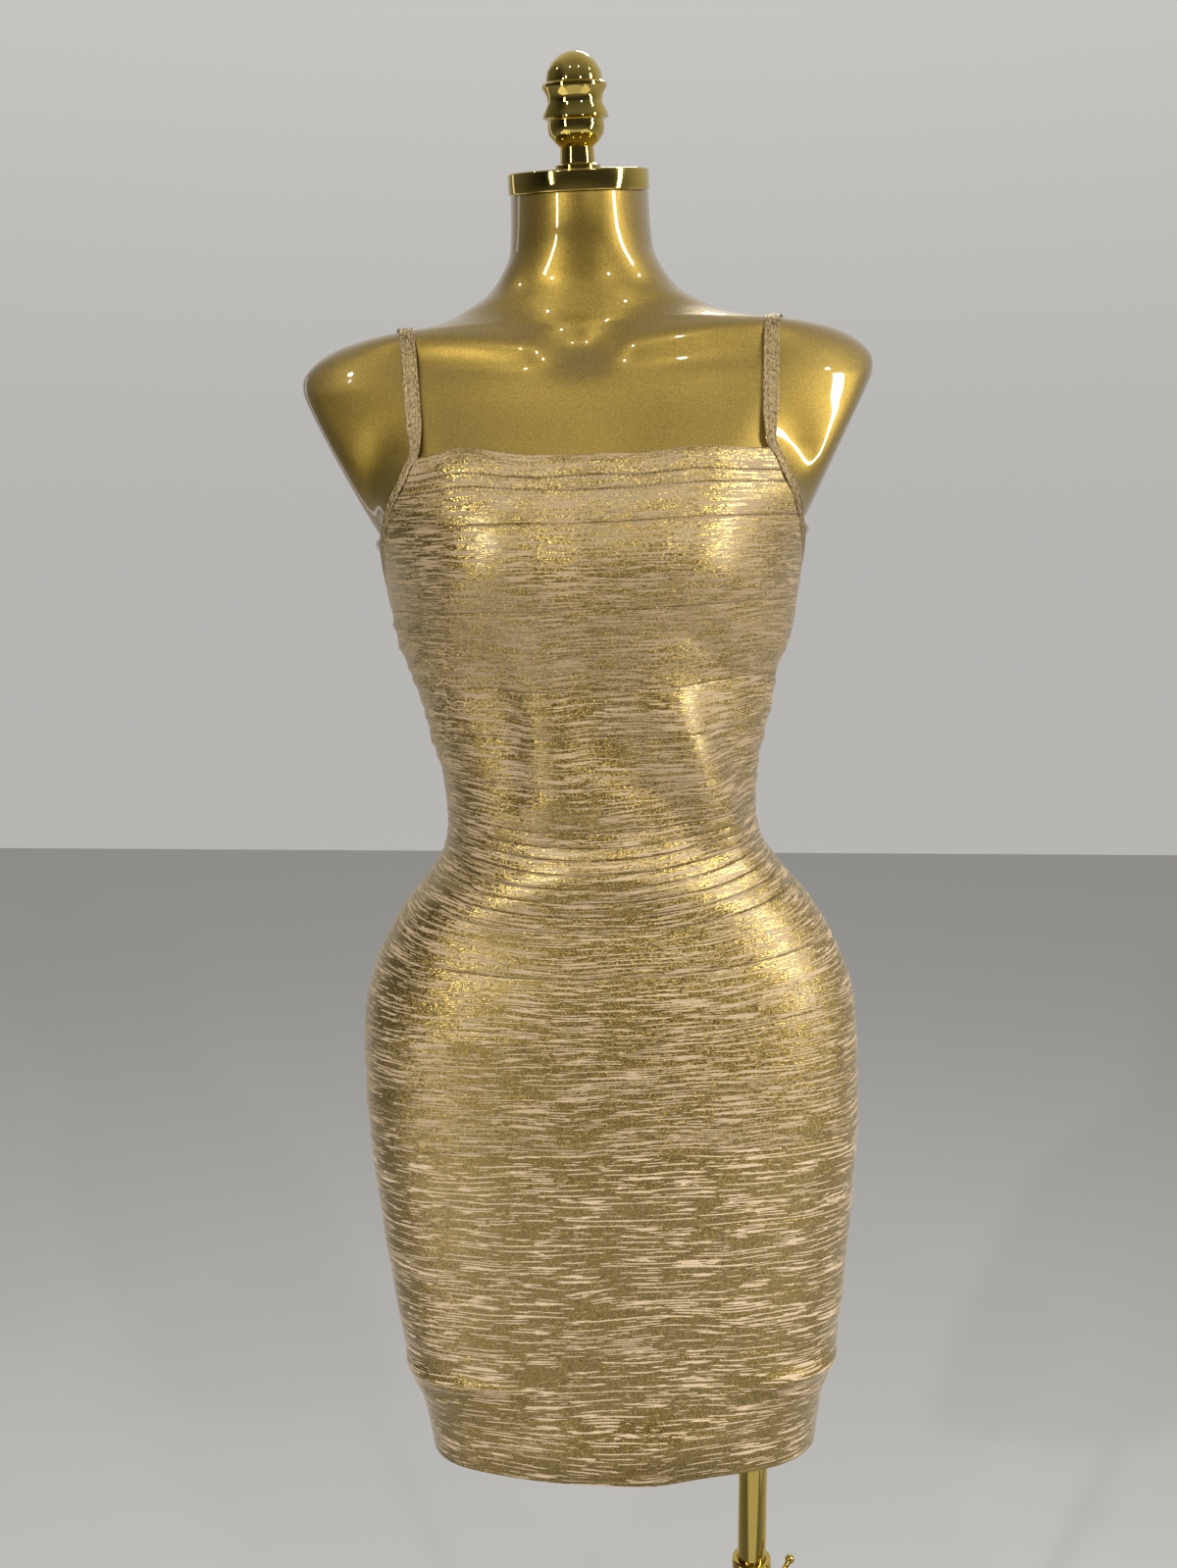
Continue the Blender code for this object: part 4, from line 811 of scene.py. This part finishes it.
def dress_strip(number, front, top):
    """One strip of knit over the front or the back, down to the seam of that number. It returns how far down
    the cloth the strip's lower edge lies, where its upper one lies at top."""
    name = f"{'front' if front else 'back'}_strip_{number:02d}"
    heights, turns, along, row_places, column_places = strip_grid(number, front)
    tall, mean_run = row_places[-1], column_places[-1]
    outward = figure_normals(heights, turns)
    puff = BAND_PUFF * np.sin(pi * (row_places / tall)[:, None]) ** 0.7
    base = figure_points(heights, turns) + outward * (EASE + push(heights, turns) + puff)[..., None]
    row_dip = rolled(row_places, tall, SEAM_ROLLS[number - 1], SEAM_ROLLS[number])
    if number == LAST_STRIP:
        row_dip = row_dip + np.interp(tall - row_places, *HEM_RIDGE)
    dip = np.maximum(row_dip[:, None], rolled(column_places, mean_run)[None, :])
    face = base + outward * (CLOTH - dip)[..., None]
    rows, columns = along.shape
    count = rows * columns
    places = np.arange(count).reshape(rows, columns)
    ring = np.concatenate([places[0], places[1:, -1], places[-1, -2::-1], places[-2:0:-1, 0]])
    after = np.roll(ring, -1)
    outer, inner = grid_faces(rows, columns), grid_faces(rows, columns, first=count)[:, ::-1]
    faces = np.concatenate([outer, inner, np.stack([ring, after, after + count, ring + count], axis=-1)])
    points = np.concatenate([face.reshape(-1, 3), base.reshape(-1, 3)])
    piece = add_piece(f"{name}_knit", in_figure(points), faces.tolist(), knit_looks[number - 1], bare_knit)
    bare = np.ones(len(faces), np.int32)
    bare[: len(outer)] = 0
    piece.data.polygons.foreach_set("material_index", bare)
    down = summed(np.linalg.norm(np.diff(base, axis=0), axis=-1).mean(axis=1))
    deep = float(down[-1])
    down = np.broadcast_to(down[:, None], along.shape)
    printed_down = top + down + gathered(heights, turns, along)
    cloth_uv = np.stack([along + (0 if front else BACK_PRINT), printed_down], -1)
    corners = np.zeros(len(piece.data.loops), np.int32)
    piece.data.loops.foreach_get("vertex_index", corners)
    for label, uv in (("Cloth", cloth_uv), ("Edges", np.stack([down, deep - down], -1))):
        layer = piece.data.uv_layers.new(name=label)
        layer.data.foreach_set("uv", uv.reshape(-1, 2)[corners % count].astype(np.float32).ravel())
    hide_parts(name)
    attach(piece, "figure")
    return top + deep


for front in (True, False):
    reached = 0.0
    for number in range(1, LAST_STRIP + 1):
        reached = dress_strip(number, front, reached)


# ==== Straps ====
# Each shoulder strap is a folded tape of the same knit, about 10 mm wide, with a row of stitches along both
# folds. It runs on round the armhole as a narrower binding, so that each side of the dress has one closed
# loop.

DRESS_SHIFT = 0.0035  # its straps lie this much to the figure's left
STRAP_WIDTH = 0.010
STRAP_RIDGE = 0.1239  # from the dress's middle, on top of the shoulder
STRAP_CLOTH = 0.0012
STRAP_EASE = 0.0006
STRAP_LIFT = 0.0016  # how far a strap stands off in front and behind, where it leaves the dress
STRAP_FOOT, STRAP_FULL = 1.333, 1.352  # the binding widens to the strap between these heights
STRAP_POINTS = 110
TAUT_STEPS = 80  # places at which the shoulder is felt for under a strap
STRAP_BEND = 0.006  # the reach over which a strap's corners are rounded
SHOULDER_SEARCH = (1.440, 1.250, -0.0005)  # from, to and step, down
POINT_PASSES, DIRECTION_PASSES = 3, 12  # of smoothing, where the strap meets the binding
# The tape's outline: across, from -1 to 1, and height, from 0 to 1
TAPE_FACE = (
    (-1, 0.45), (-0.96, 0.8), (-0.86, 1), (-0.7, 0.97), (-0.6, 0.74), (-0.52, 0.72), (-0.4, 0.86), (0, 0.92),
    (0.4, 0.86), (0.52, 0.72), (0.6, 0.74), (0.7, 0.97), (0.86, 1), (0.96, 0.8), (1, 0.45),
)
TAPE_BACK = ((0.94, 0.0), (0.0, 0.0), (-0.94, 0.0))
CLOSING_STEP = 0.003  # from the loop's last point on to its first


def top_of_figure(x, y):
    """The height of the shoulder over a point."""
    heights = np.arange(*SHOULDER_SEARCH)
    half_width, front, back, squareness = section(heights)
    inside = abs(x) < half_width
    depth = np.where(inside, np.maximum(1 - (abs(x) / half_width) ** squareness, 0), 0) ** (1 / squareness)
    low = -front * depth - front_shape(np.full_like(heights, x), heights) * depth**SWELL_FADE
    found = inside & (low <= y) & (y <= back * depth)
    return float(heights[np.argmax(found)]) if found.any() else SHOULDER_SEARCH[1]


def taut_over_shoulder(side, front, back):
    """A strap's centre line, drawn taut from its back corner to its front one, and its outward directions."""
    ridge = side * STRAP_RIDGE + DRESS_SHIFT
    corners = (front[1], (front[1] + back[1]) / 2, back[1]), (front[0], ridge, back[0])
    depths = np.linspace(front[1], back[1], TAUT_STEPS)
    heights = [
        max(top_of_figure(x + shift, y) for shift in (-STRAP_WIDTH / 2, 0.0, STRAP_WIDTH / 2))
        for x, y in zip(np.interp(depths, *corners), depths)
    ]
    heights[0], heights[-1] = front[2], back[2]
    taut = []
    for place in range(len(depths)):
        while len(taut) > 1:
            (y0, z0), (y1, z1) = ((depths[k], heights[k]) for k in taut[-2:])
            if (y1 - y0) * (heights[place] - z0) - (z1 - z0) * (depths[place] - y0) < 0:
                break
            taut.pop()
        taut.append(place)
    y, z = depths[taut], np.array(heights)[taut]
    lengths = summed(np.hypot(np.diff(y), np.diff(z)))
    run = np.linspace(lengths[-1], 0.0, STRAP_POINTS + 2)[1:-1]
    nearby = run, np.maximum(run - STRAP_BEND, 0), np.minimum(run + STRAP_BEND, lengths[-1])
    line = np.array([[np.interp(places, lengths, values) for places in nearby] for values in (y, z)])
    centre, level = line.sum(axis=1) / 3
    reach, climb = line[:, 2] - line[:, 1]
    points = np.stack([np.interp(centre, *corners), centre, level], axis=-1)
    return points, unit(np.stack([np.zeros_like(run), -climb, reach], axis=-1))


def smoothed(vectors, passes):
    """A closed run of vectors, each averaged with its neighbours."""
    for _ in range(passes):
        vectors = (np.roll(vectors, 1, axis=0) + vectors * 2 + np.roll(vectors, -1, axis=0)) / 4
    return vectors


def along_path(points):
    """The direction at each point of a closed run."""
    return unit(np.roll(points, -1, axis=0) - np.roll(points, 1, axis=0))


def strap(side):
    """A strap that runs on round the armhole as its binding."""
    heights, turns = armhole_path(side)
    points, directions = figure_points(heights, turns), figure_normals(heights, turns)
    lift = np.array((0, STRAP_LIFT, 0))
    over, over_directions = taut_over_shoulder(side, points[0] - lift, points[-1] + lift)
    points = smoothed(np.concatenate([points, over]), POINT_PASSES)
    directions = smoothed(np.concatenate([directions, over_directions]), DIRECTION_PASSES)
    along = along_path(points)
    outward = unit(directions - along * (directions * along).sum(-1, keepdims=True))
    sideways = np.cross(along, outward) * side
    share = np.clip((points[:, 2] - STRAP_FOOT) / (STRAP_FULL - STRAP_FOOT), 0, 1)
    half = (BINDING_WIDTH + (STRAP_WIDTH - BINDING_WIDTH) * share) / 2
    low = EASE + (STRAP_EASE - EASE) * share
    thick = CLOTH + (STRAP_CLOTH - CLOTH) * share
    across, tall = np.array(TAPE_FACE + TAPE_BACK).T
    rings = points[:, None] + sideways[:, None] * (half[:, None] * across)[..., None]
    rings = rings + outward[:, None] * (low[:, None] + thick[:, None] * tall)[..., None]
    count, corners = rings.shape[:2]
    run = summed(np.linalg.norm(np.diff(points, axis=0), axis=-1))
    ends = np.append(run[1:], run[-1] + CLOSING_STEP)
    faces, places = [], []
    for ring in range(count):
        for corner in range(corners):
            after, other = (ring + 1) % count, (corner + 1) % corners
            quad = (ring, corner, run), (ring, other, run), (after, other, ends), (after, corner, ends)
            faces.append([r * corners + c for r, c, _ in quad])
            places.append([(reached[ring], across[c] * half[r]) for r, c, reached in quad])
    name = "strap_left" if side > 0 else "strap_right"
    piece = add_piece(f"{name}_tape", in_figure(rings), faces, strap_look)
    layer = piece.data.uv_layers.new(name="Cloth")
    layer.data.foreach_set("uv", np.array(places, np.float32).ravel())
    work = bmesh.new()
    work.from_mesh(piece.data)
    bmesh.ops.recalc_face_normals(work, faces=work.faces)
    work.to_mesh(piece.data)
    work.free()
    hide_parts(name)
    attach(piece, "figure")


strap_look, shader = new_look("strap_knit", FOIL_COLOUR, 0.42, 0.8)
tree = strap_look.node_tree
printed = place_group(
    tree, foil_print, Place=add_node(tree, "UVMap", {"uv_map": "Cloth"})[0], Streak_Spacing=1000.0,
    Streak_Run=330.0, Cover=0.50, Rib=0.0011, Foil=(0.50, 0.37, 0.13, 1), Yarn=(0.40, 0.285, 0.15, 1),
)
bump = add_node(
    tree, "Bump", Strength=0.6, Distance=0.0002, Height=printed["Height"], Normal=printed["Normal"]
)[0]
feed(
    shader, Base_Color=printed["Colour"], Metallic=calculate(tree, "MULTIPLY", printed["Foil"], 0.9),
    Roughness=printed["Roughness"], Normal=bump,
)
for side in (-1, 1):
    strap(side)


# ==== Neck cap and finial ====
# The neck is closed by a turned disc and a turned finial, screwed on from above. Both are brass, polished and
# gold plated.

polished_gold, shader = new_look("polished_gold", (0.62, 0.46, 0.115), 0.06, 1.0)
tree = polished_gold.node_tree
place = add_node(tree, "TexCoord")["Object"]
smears = add_node(tree, "TexNoise", Vector=place, Scale=38.0, Detail=4.0)["Fac"]
feed(shader, Roughness=ramp_between(tree, smears, 0.35, 0.75, 0.045, 0.11))

CAP_RADIUS = 0.0456
CAP_THICKNESS = 0.0130
CAP_EDGE = 0.0012
# The finial's outline from its foot up, in millimetres: height and radius
FINIAL = (
    (0, 13.2), (1.2, 14.6), (3.4, 14.6), (4.8, 11.2), (14, 10.7), (16.8, 14), (21.5, 17.6), (26.2, 18.2),
    (29.6, 17.8), (31.2, 21.1), (33.2, 20.7), (39.5, 17.3), (44, 17.8), (48.6, 20.6), (50.6, 20.4),
    (52, 18.1), (57.5, 17.2), (63, 14), (67.4, 8.5), (69.2, 3.6), (69.5, 0),
)
ROUND_STEPS = 96
TURNED_SHARP = 35  # degrees from which an edge of a turned piece shows sharp


def turned(name, *shells):
    """A polished piece of one or more shells, each turned about its own Z from (radius, height) points and
    set on its seat. The points run from the bottom up on the outside."""
    whole = bmesh.new()
    for profile, seat in shells:
        work = bmesh.new()
        chain = [work.verts.new((radius, 0.0, height)) for radius, height in profile]
        edges = [work.edges.new(pair) for pair in zip(chain, chain[1:])]
        bmesh.ops.spin(
            work, geom=chain + edges, cent=(0, 0, 0), axis=(0, 0, 1), angle=2 * pi, steps=ROUND_STEPS,
            use_merge=True,
        )
        bmesh.ops.remove_doubles(work, verts=work.verts, dist=1e-6)
        bmesh.ops.recalc_face_normals(work, faces=work.faces)
        bmesh.ops.transform(work, matrix=seat, verts=work.verts)
        shell = bpy.data.meshes.new(name)
        work.to_mesh(shell)
        work.free()
        whole.from_mesh(shell)
        bpy.data.meshes.remove(shell)
    mesh = bpy.data.meshes.new(name)
    whole.to_mesh(mesh)
    whole.free()
    return finished(name, mesh, [polished_gold], sharp=TURNED_SHARP)


def edge_arc(radius, level, edge, angles):
    """A rounded edge: its outermost point lies at a radius, and its middle at a level."""
    return [(radius - edge * (1 - cos(angle)), level + edge * sin(angle)) for angle in np.radians(angles)]


neck_front, neck_back = (Vector(figure_points(NECK_TOP, turn)) for turn in (0.0, pi))
neck_slope = (neck_back - neck_front).normalized()
neck_up = Vector((1, 0, 0)).cross(neck_slope)
neck_seat = Matrix.Translation((neck_front + neck_back) / 2)
neck_seat = neck_seat @ Matrix((Vector((1, 0, 0)), neck_slope, neck_up)).transposed().to_4x4()
neck_seat = Matrix(FIGURE_FRAME.tolist()) @ neck_seat
cap_low, cap_high = GAP, GAP + CAP_THICKNESS
cap_outline = [
    (0.0, cap_low), *edge_arc(CAP_RADIUS, cap_low + CAP_EDGE, CAP_EDGE, (-90, -60, -30, 0)),
    *edge_arc(CAP_RADIUS, cap_high - CAP_EDGE, CAP_EDGE, (0, 30, 60, 90)), (0.0, cap_high),
]
cap = turned("neck_cap_disc", (cap_outline, neck_seat))
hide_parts("neck_cap")
finial_foot = cap_high + GAP
finial_outline = [(radius / MM, finial_foot + height / MM) for height, radius in FINIAL]
finial = turned("finial_knob", ([(0.0, finial_foot), *finial_outline], neck_seat))
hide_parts("finial")
for piece in (cap, finial):
    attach(piece, "figure")


# ==== Stand ====
# A round steel base plate carries a socket, a tube with a collar and a sliding pole, all polished and gold
# plated. A lever screw in the collar locks the height, and a flange under the form sits on the pole.

POLE_X = 0.090
POLE_RADIUS = 0.0105
POLE_BOTTOM = 0.160
TUBE_TOP = 0.5385
TUBE_RADIUS = 0.0120
TUBE_BORE = POLE_RADIUS + GAP
COLLAR_RADIUS = 0.0142
COLLAR_HEIGHT = 0.022
LOCK_HEIGHT = 0.531
LOCK_TURN = radians(-40)
LOCK_TILT = radians(57)
LOCK_BORE = 0.0032
LOCK_SHAFT = 0.0026
LOCK_BOSS_RADIUS = 0.0055
LOCK_BOSS_END = 0.0185
LOCK_HEAD = 0.0240
LOCK_END = 0.0275
LOCK_BAR_HALF = 0.0170
LOCK_BAR_RADIUS = 0.0020
LOCK_HUB = 0.0048
LOCK_BALL = 0.0034
FLANGE_RADIUS = 0.030
FLANGE_THICKNESS = 0.006
SLEEVE_LENGTH = 0.024
SLEEVE_BORE = POLE_RADIUS + 0.0012
SLEEVE_RADIUS = 0.0155
BASE_RADIUS = 0.170
BASE_THICKNESS = 0.012
BASE_EDGE = 0.003
SOCKET_RADIUS = 0.030
SOCKET_TOP = 0.040
ROD_EDGE, TUBE_EDGE = 0.0003, 0.0005  # bevels


def rod_outline(radius, low, high, edge=ROD_EDGE):
    return [
        (0.0, low), (radius - edge, low), (radius, low + edge), (radius, high - edge), (radius - edge, high),
        (0.0, high),
    ]


def tube_outline(radius, bore, low, high):
    return [(bore, low), *rod_outline(radius, low, high, TUBE_EDGE)[1:-1], (bore, high), (bore, low)]


def ball_outline(radius):
    return [(radius * cos(angle), radius * sin(angle)) for angle in np.radians(range(-90, 91, 10))]


foot = BASE_THICKNESS + GAP
collar_foot = TUBE_TOP - COLLAR_HEIGHT
pole_seat = Matrix.Translation((POLE_X, 0, 0))
base_outline = [
    (0.0, 0.0), (BASE_RADIUS, 0.0),
    *edge_arc(BASE_RADIUS, BASE_THICKNESS - BASE_EDGE, BASE_EDGE, range(0, 91, 15)), (0.0, BASE_THICKNESS),
]
socket_bore = TUBE_RADIUS + GAP
socket_outline = [
    (socket_bore, foot), (SOCKET_RADIUS, foot), (SOCKET_RADIUS, foot + 0.004), (0.0262, foot + 0.0058),
    (0.0215, foot + 0.009), (0.0197, foot + 0.0135), (0.0187, foot + 0.019), (0.0185, SOCKET_TOP - 0.0015),
    (0.0180, SOCKET_TOP - 0.0005), (0.0172, SOCKET_TOP), (socket_bore, SOCKET_TOP), (socket_bore, foot),
]
tube_with_collar = [
    (TUBE_BORE, foot), (TUBE_RADIUS, foot), (TUBE_RADIUS, collar_foot),
    (COLLAR_RADIUS - 0.0010, collar_foot + 0.0004), (COLLAR_RADIUS, collar_foot + 0.0015),
    (COLLAR_RADIUS, TUBE_TOP - 0.0015), (COLLAR_RADIUS - 0.0004, TUBE_TOP - 0.0004),
    (COLLAR_RADIUS - 0.0015, TUBE_TOP), (TUBE_BORE, TUBE_TOP), (TUBE_BORE, foot),
]
lock_axis = Matrix.Translation((POLE_X, 0, LOCK_HEIGHT)) @ Matrix.Rotation(LOCK_TURN, 4, "Z")
swing = Vector((0, sin(LOCK_TILT), cos(LOCK_TILT)))
bar_middle = Vector((LOCK_HEAD, 0, 0))


def lock_place(point, direction=Vector((1, 0, 0))):
    """A seat on the lock screw's axis, with its Z along a direction."""
    return lock_axis @ Matrix.Translation(point) @ direction.to_track_quat("Z", "Y").to_matrix().to_4x4()


on_screw = lock_place((0, 0, 0))
boss_outline = tube_outline(LOCK_BOSS_RADIUS, LOCK_BORE, COLLAR_RADIUS - 0.0018, LOCK_BOSS_END)
base_plate = turned("base_plate_disc", (base_outline, Matrix()))
base_socket = turned("base_socket_ring", (socket_outline, pole_seat))
lower_tube = turned("pole_lower_tube", (tube_with_collar, pole_seat), (boss_outline, on_screw))
lock_screw = turned(
    "lock_screw_lever",
    (rod_outline(LOCK_SHAFT, POLE_RADIUS + GAP, LOCK_END), on_screw),
    (ball_outline(LOCK_HUB), lock_place(bar_middle)),
    (rod_outline(LOCK_BAR_RADIUS, -LOCK_BAR_HALF, LOCK_BAR_HALF), lock_place(bar_middle, swing)),
    (ball_outline(LOCK_BALL), lock_place(bar_middle - swing * LOCK_BAR_HALF)),
    (ball_outline(LOCK_BALL), lock_place(bar_middle + swing * LOCK_BAR_HALF)),
)
flange_foot = FORM_BOTTOM - GAP - FLANGE_THICKNESS
leaning = Matrix(FIGURE_FRAME.tolist())
flange_x = (leaning.inverted() @ Vector((POLE_X, 0, flange_foot - SLEEVE_LENGTH / 2))).x
pole_top = (leaning @ Vector((flange_x, 0, flange_foot))).z - POLE_RADIUS * sin(LEAN) - GAP
upper_pole = turned("pole_upper_rod", (rod_outline(POLE_RADIUS, POLE_BOTTOM, pole_top), pole_seat))
flange_seat = leaning @ Matrix.Translation((flange_x, 0, flange_foot))
flange_outline = [
    (0.0, 0.0), (FLANGE_RADIUS - 0.001, 0.0), (FLANGE_RADIUS - 0.0003, 0.0003), (FLANGE_RADIUS, 0.001),
    (FLANGE_RADIUS, FLANGE_THICKNESS), (0.0, FLANGE_THICKNESS),
]
flange = turned(
    "pole_flange_disc", (flange_outline, flange_seat),
    (tube_outline(SLEEVE_RADIUS, SLEEVE_BORE, -SLEEVE_LENGTH, 0.001), flange_seat),
)
for piece, node, body in (
    (base_plate, "base_plate", "stand"), (base_socket, "base_socket", "stand"),
    (lower_tube, "pole_lower", "stand"), (lock_screw, "lock_screw", "lock"),
    (upper_pole, "pole_upper", "figure"), (flange, "pole_flange", "figure"),
):
    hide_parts(node)
    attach(piece, body)


# ==== Studio ====
# A plain pale floor and soft lamps, none of it part of the object. The lamps stand in for a room's ceiling
# lights and windows, and those named for the ground show in the foil alone.

FLOOR_HALF = 6.0
FLOOR_LEVEL = -0.0005
FLOOR_COLOUR = (0.62, 0.61, 0.60)
floor_look, shader = new_look("studio_floor", FLOOR_COLOUR, 0.75, 0.0)
floor_corners = [
    (x * FLOOR_HALF, y * FLOOR_HALF, FLOOR_LEVEL) for x, y in ((-1, -1), (1, -1), (1, 1), (-1, 1))
]
floor = add_piece("studio_floor", floor_corners, [range(4)], floor_look)
floor.visible_glossy = False  # the foil and the polish mirror a dim room below them instead

# How bright the room looks in front of the figure and behind it, what the ceiling adds, how dim the figure's
# right side is, and what the ground adds
FRONT_LIGHT, BACK_LIGHT, CEILING_LIGHT, RIGHT_DIMMING, GROUND_LIGHT = 0.05, 0.47, 0.21, 0.30, 0.13
world = bpy.data.worlds.new("studio")
world.use_nodes = True
tree = world.node_tree
node, step, ramp, _, _ = node_tools(tree)
x, y, z = node("SeparateXYZ", Vector=node("TexCoord")["Generated"])
room = step("ADD", ramp(y, -0.7, 0.8, FRONT_LIGHT, BACK_LIGHT), ramp(z, 0.0, 0.75, 0.0, CEILING_LIGHT))
room = step("MULTIPLY", room, ramp(x, -0.80, -0.40, RIGHT_DIMMING, 1.0))
room = step("ADD", room, ramp(z, -0.65, -0.10, GROUND_LIGHT, 0.0))
feed(tree.nodes["Background"], Color=(1.0, 0.985, 0.955, 1), Strength=room)
bpy.context.scene.world = world
bpy.context.scene.view_settings.view_transform = "Standard"

# Name, place, aim, width, height and watts
LAMPS = (
    ("window_left_of_figure", (1.58, -0.55, 1.60), (0.0, 0.0, 1.15), 0.16, 1.5, 18.5),
    ("window_before_right", (-1.45, -1.60, 1.50), (0.0, 0.0, 1.15), 0.16, 1.1, 9.0),
    ("panel_right_of_figure", (-1.35, 1.00, 1.15), (0.0, 0.0, 1.1), 0.16, 1.9, 1.0),
    ("ceiling_one", (-0.40, -1.28, 2.70), (0.0, 0.0, 1.1), 0.06, 0.06, 3.2),
    ("ceiling_two", (0.45, -1.20, 2.75), (0.0, 0.0, 1.1), 0.06, 0.06, 3.2),
    ("ceiling_three", (1.30, -0.45, 2.60), (0.0, 0.0, 1.1), 0.06, 0.06, 2.6),
    ("ceiling_four", (-1.45, -0.30, 2.65), (0.0, 0.0, 1.1), 0.06, 0.06, 2.2),
    ("ceiling_behind", (0.10, 1.50, 2.70), (0.0, 0.0, 1.1), 0.30, 0.30, 6.0),
    ("far_ceiling_right", (-2.00, -3.40, 2.60), (0.0, 0.0, 1.1), 0.12, 0.12, 40.0),
    ("far_ceiling_left", (1.70, -3.50, 2.60), (0.0, 0.0, 1.1), 0.12, 0.12, 20.0),
    ("soft_front", (-0.20, -2.20, 2.20), (0.0, 0.0, 1.0), 1.2, 1.2, 5.0),
    ("ground_in_foil", (0.0, -1.25, 0.02), (0.0, -1.25, 1.0), 1.8, 1.2, 3.1),
    ("ground_in_foil_left", (1.60, -1.05, 0.02), (1.60, -1.05, 1.0), 1.4, 1.4, 4.6),
    ("ground_in_foil_right", (-1.60, -1.05, 0.02), (-1.60, -1.05, 1.0), 1.4, 1.4, 6.6),
)
for name, place, aim, width, height, watts in LAMPS:
    lamp = bpy.data.lights.new(name, "AREA")
    lamp.shape = "RECTANGLE" if height > 1 else "DISK"
    lamp.size, lamp.size_y, lamp.energy = width, height, watts
    holder = bpy.data.objects.new(name, lamp)
    holder.location = place
    holder.rotation_euler = (Vector(aim) - Vector(place)).to_track_quat("-Z", "Y").to_euler()
    holder.visible_camera = False
    holder.visible_glossy = name != "soft_front"
    holder.visible_diffuse = not name.startswith("ground_in_foil")
    bpy.context.scene.collection.objects.link(holder)
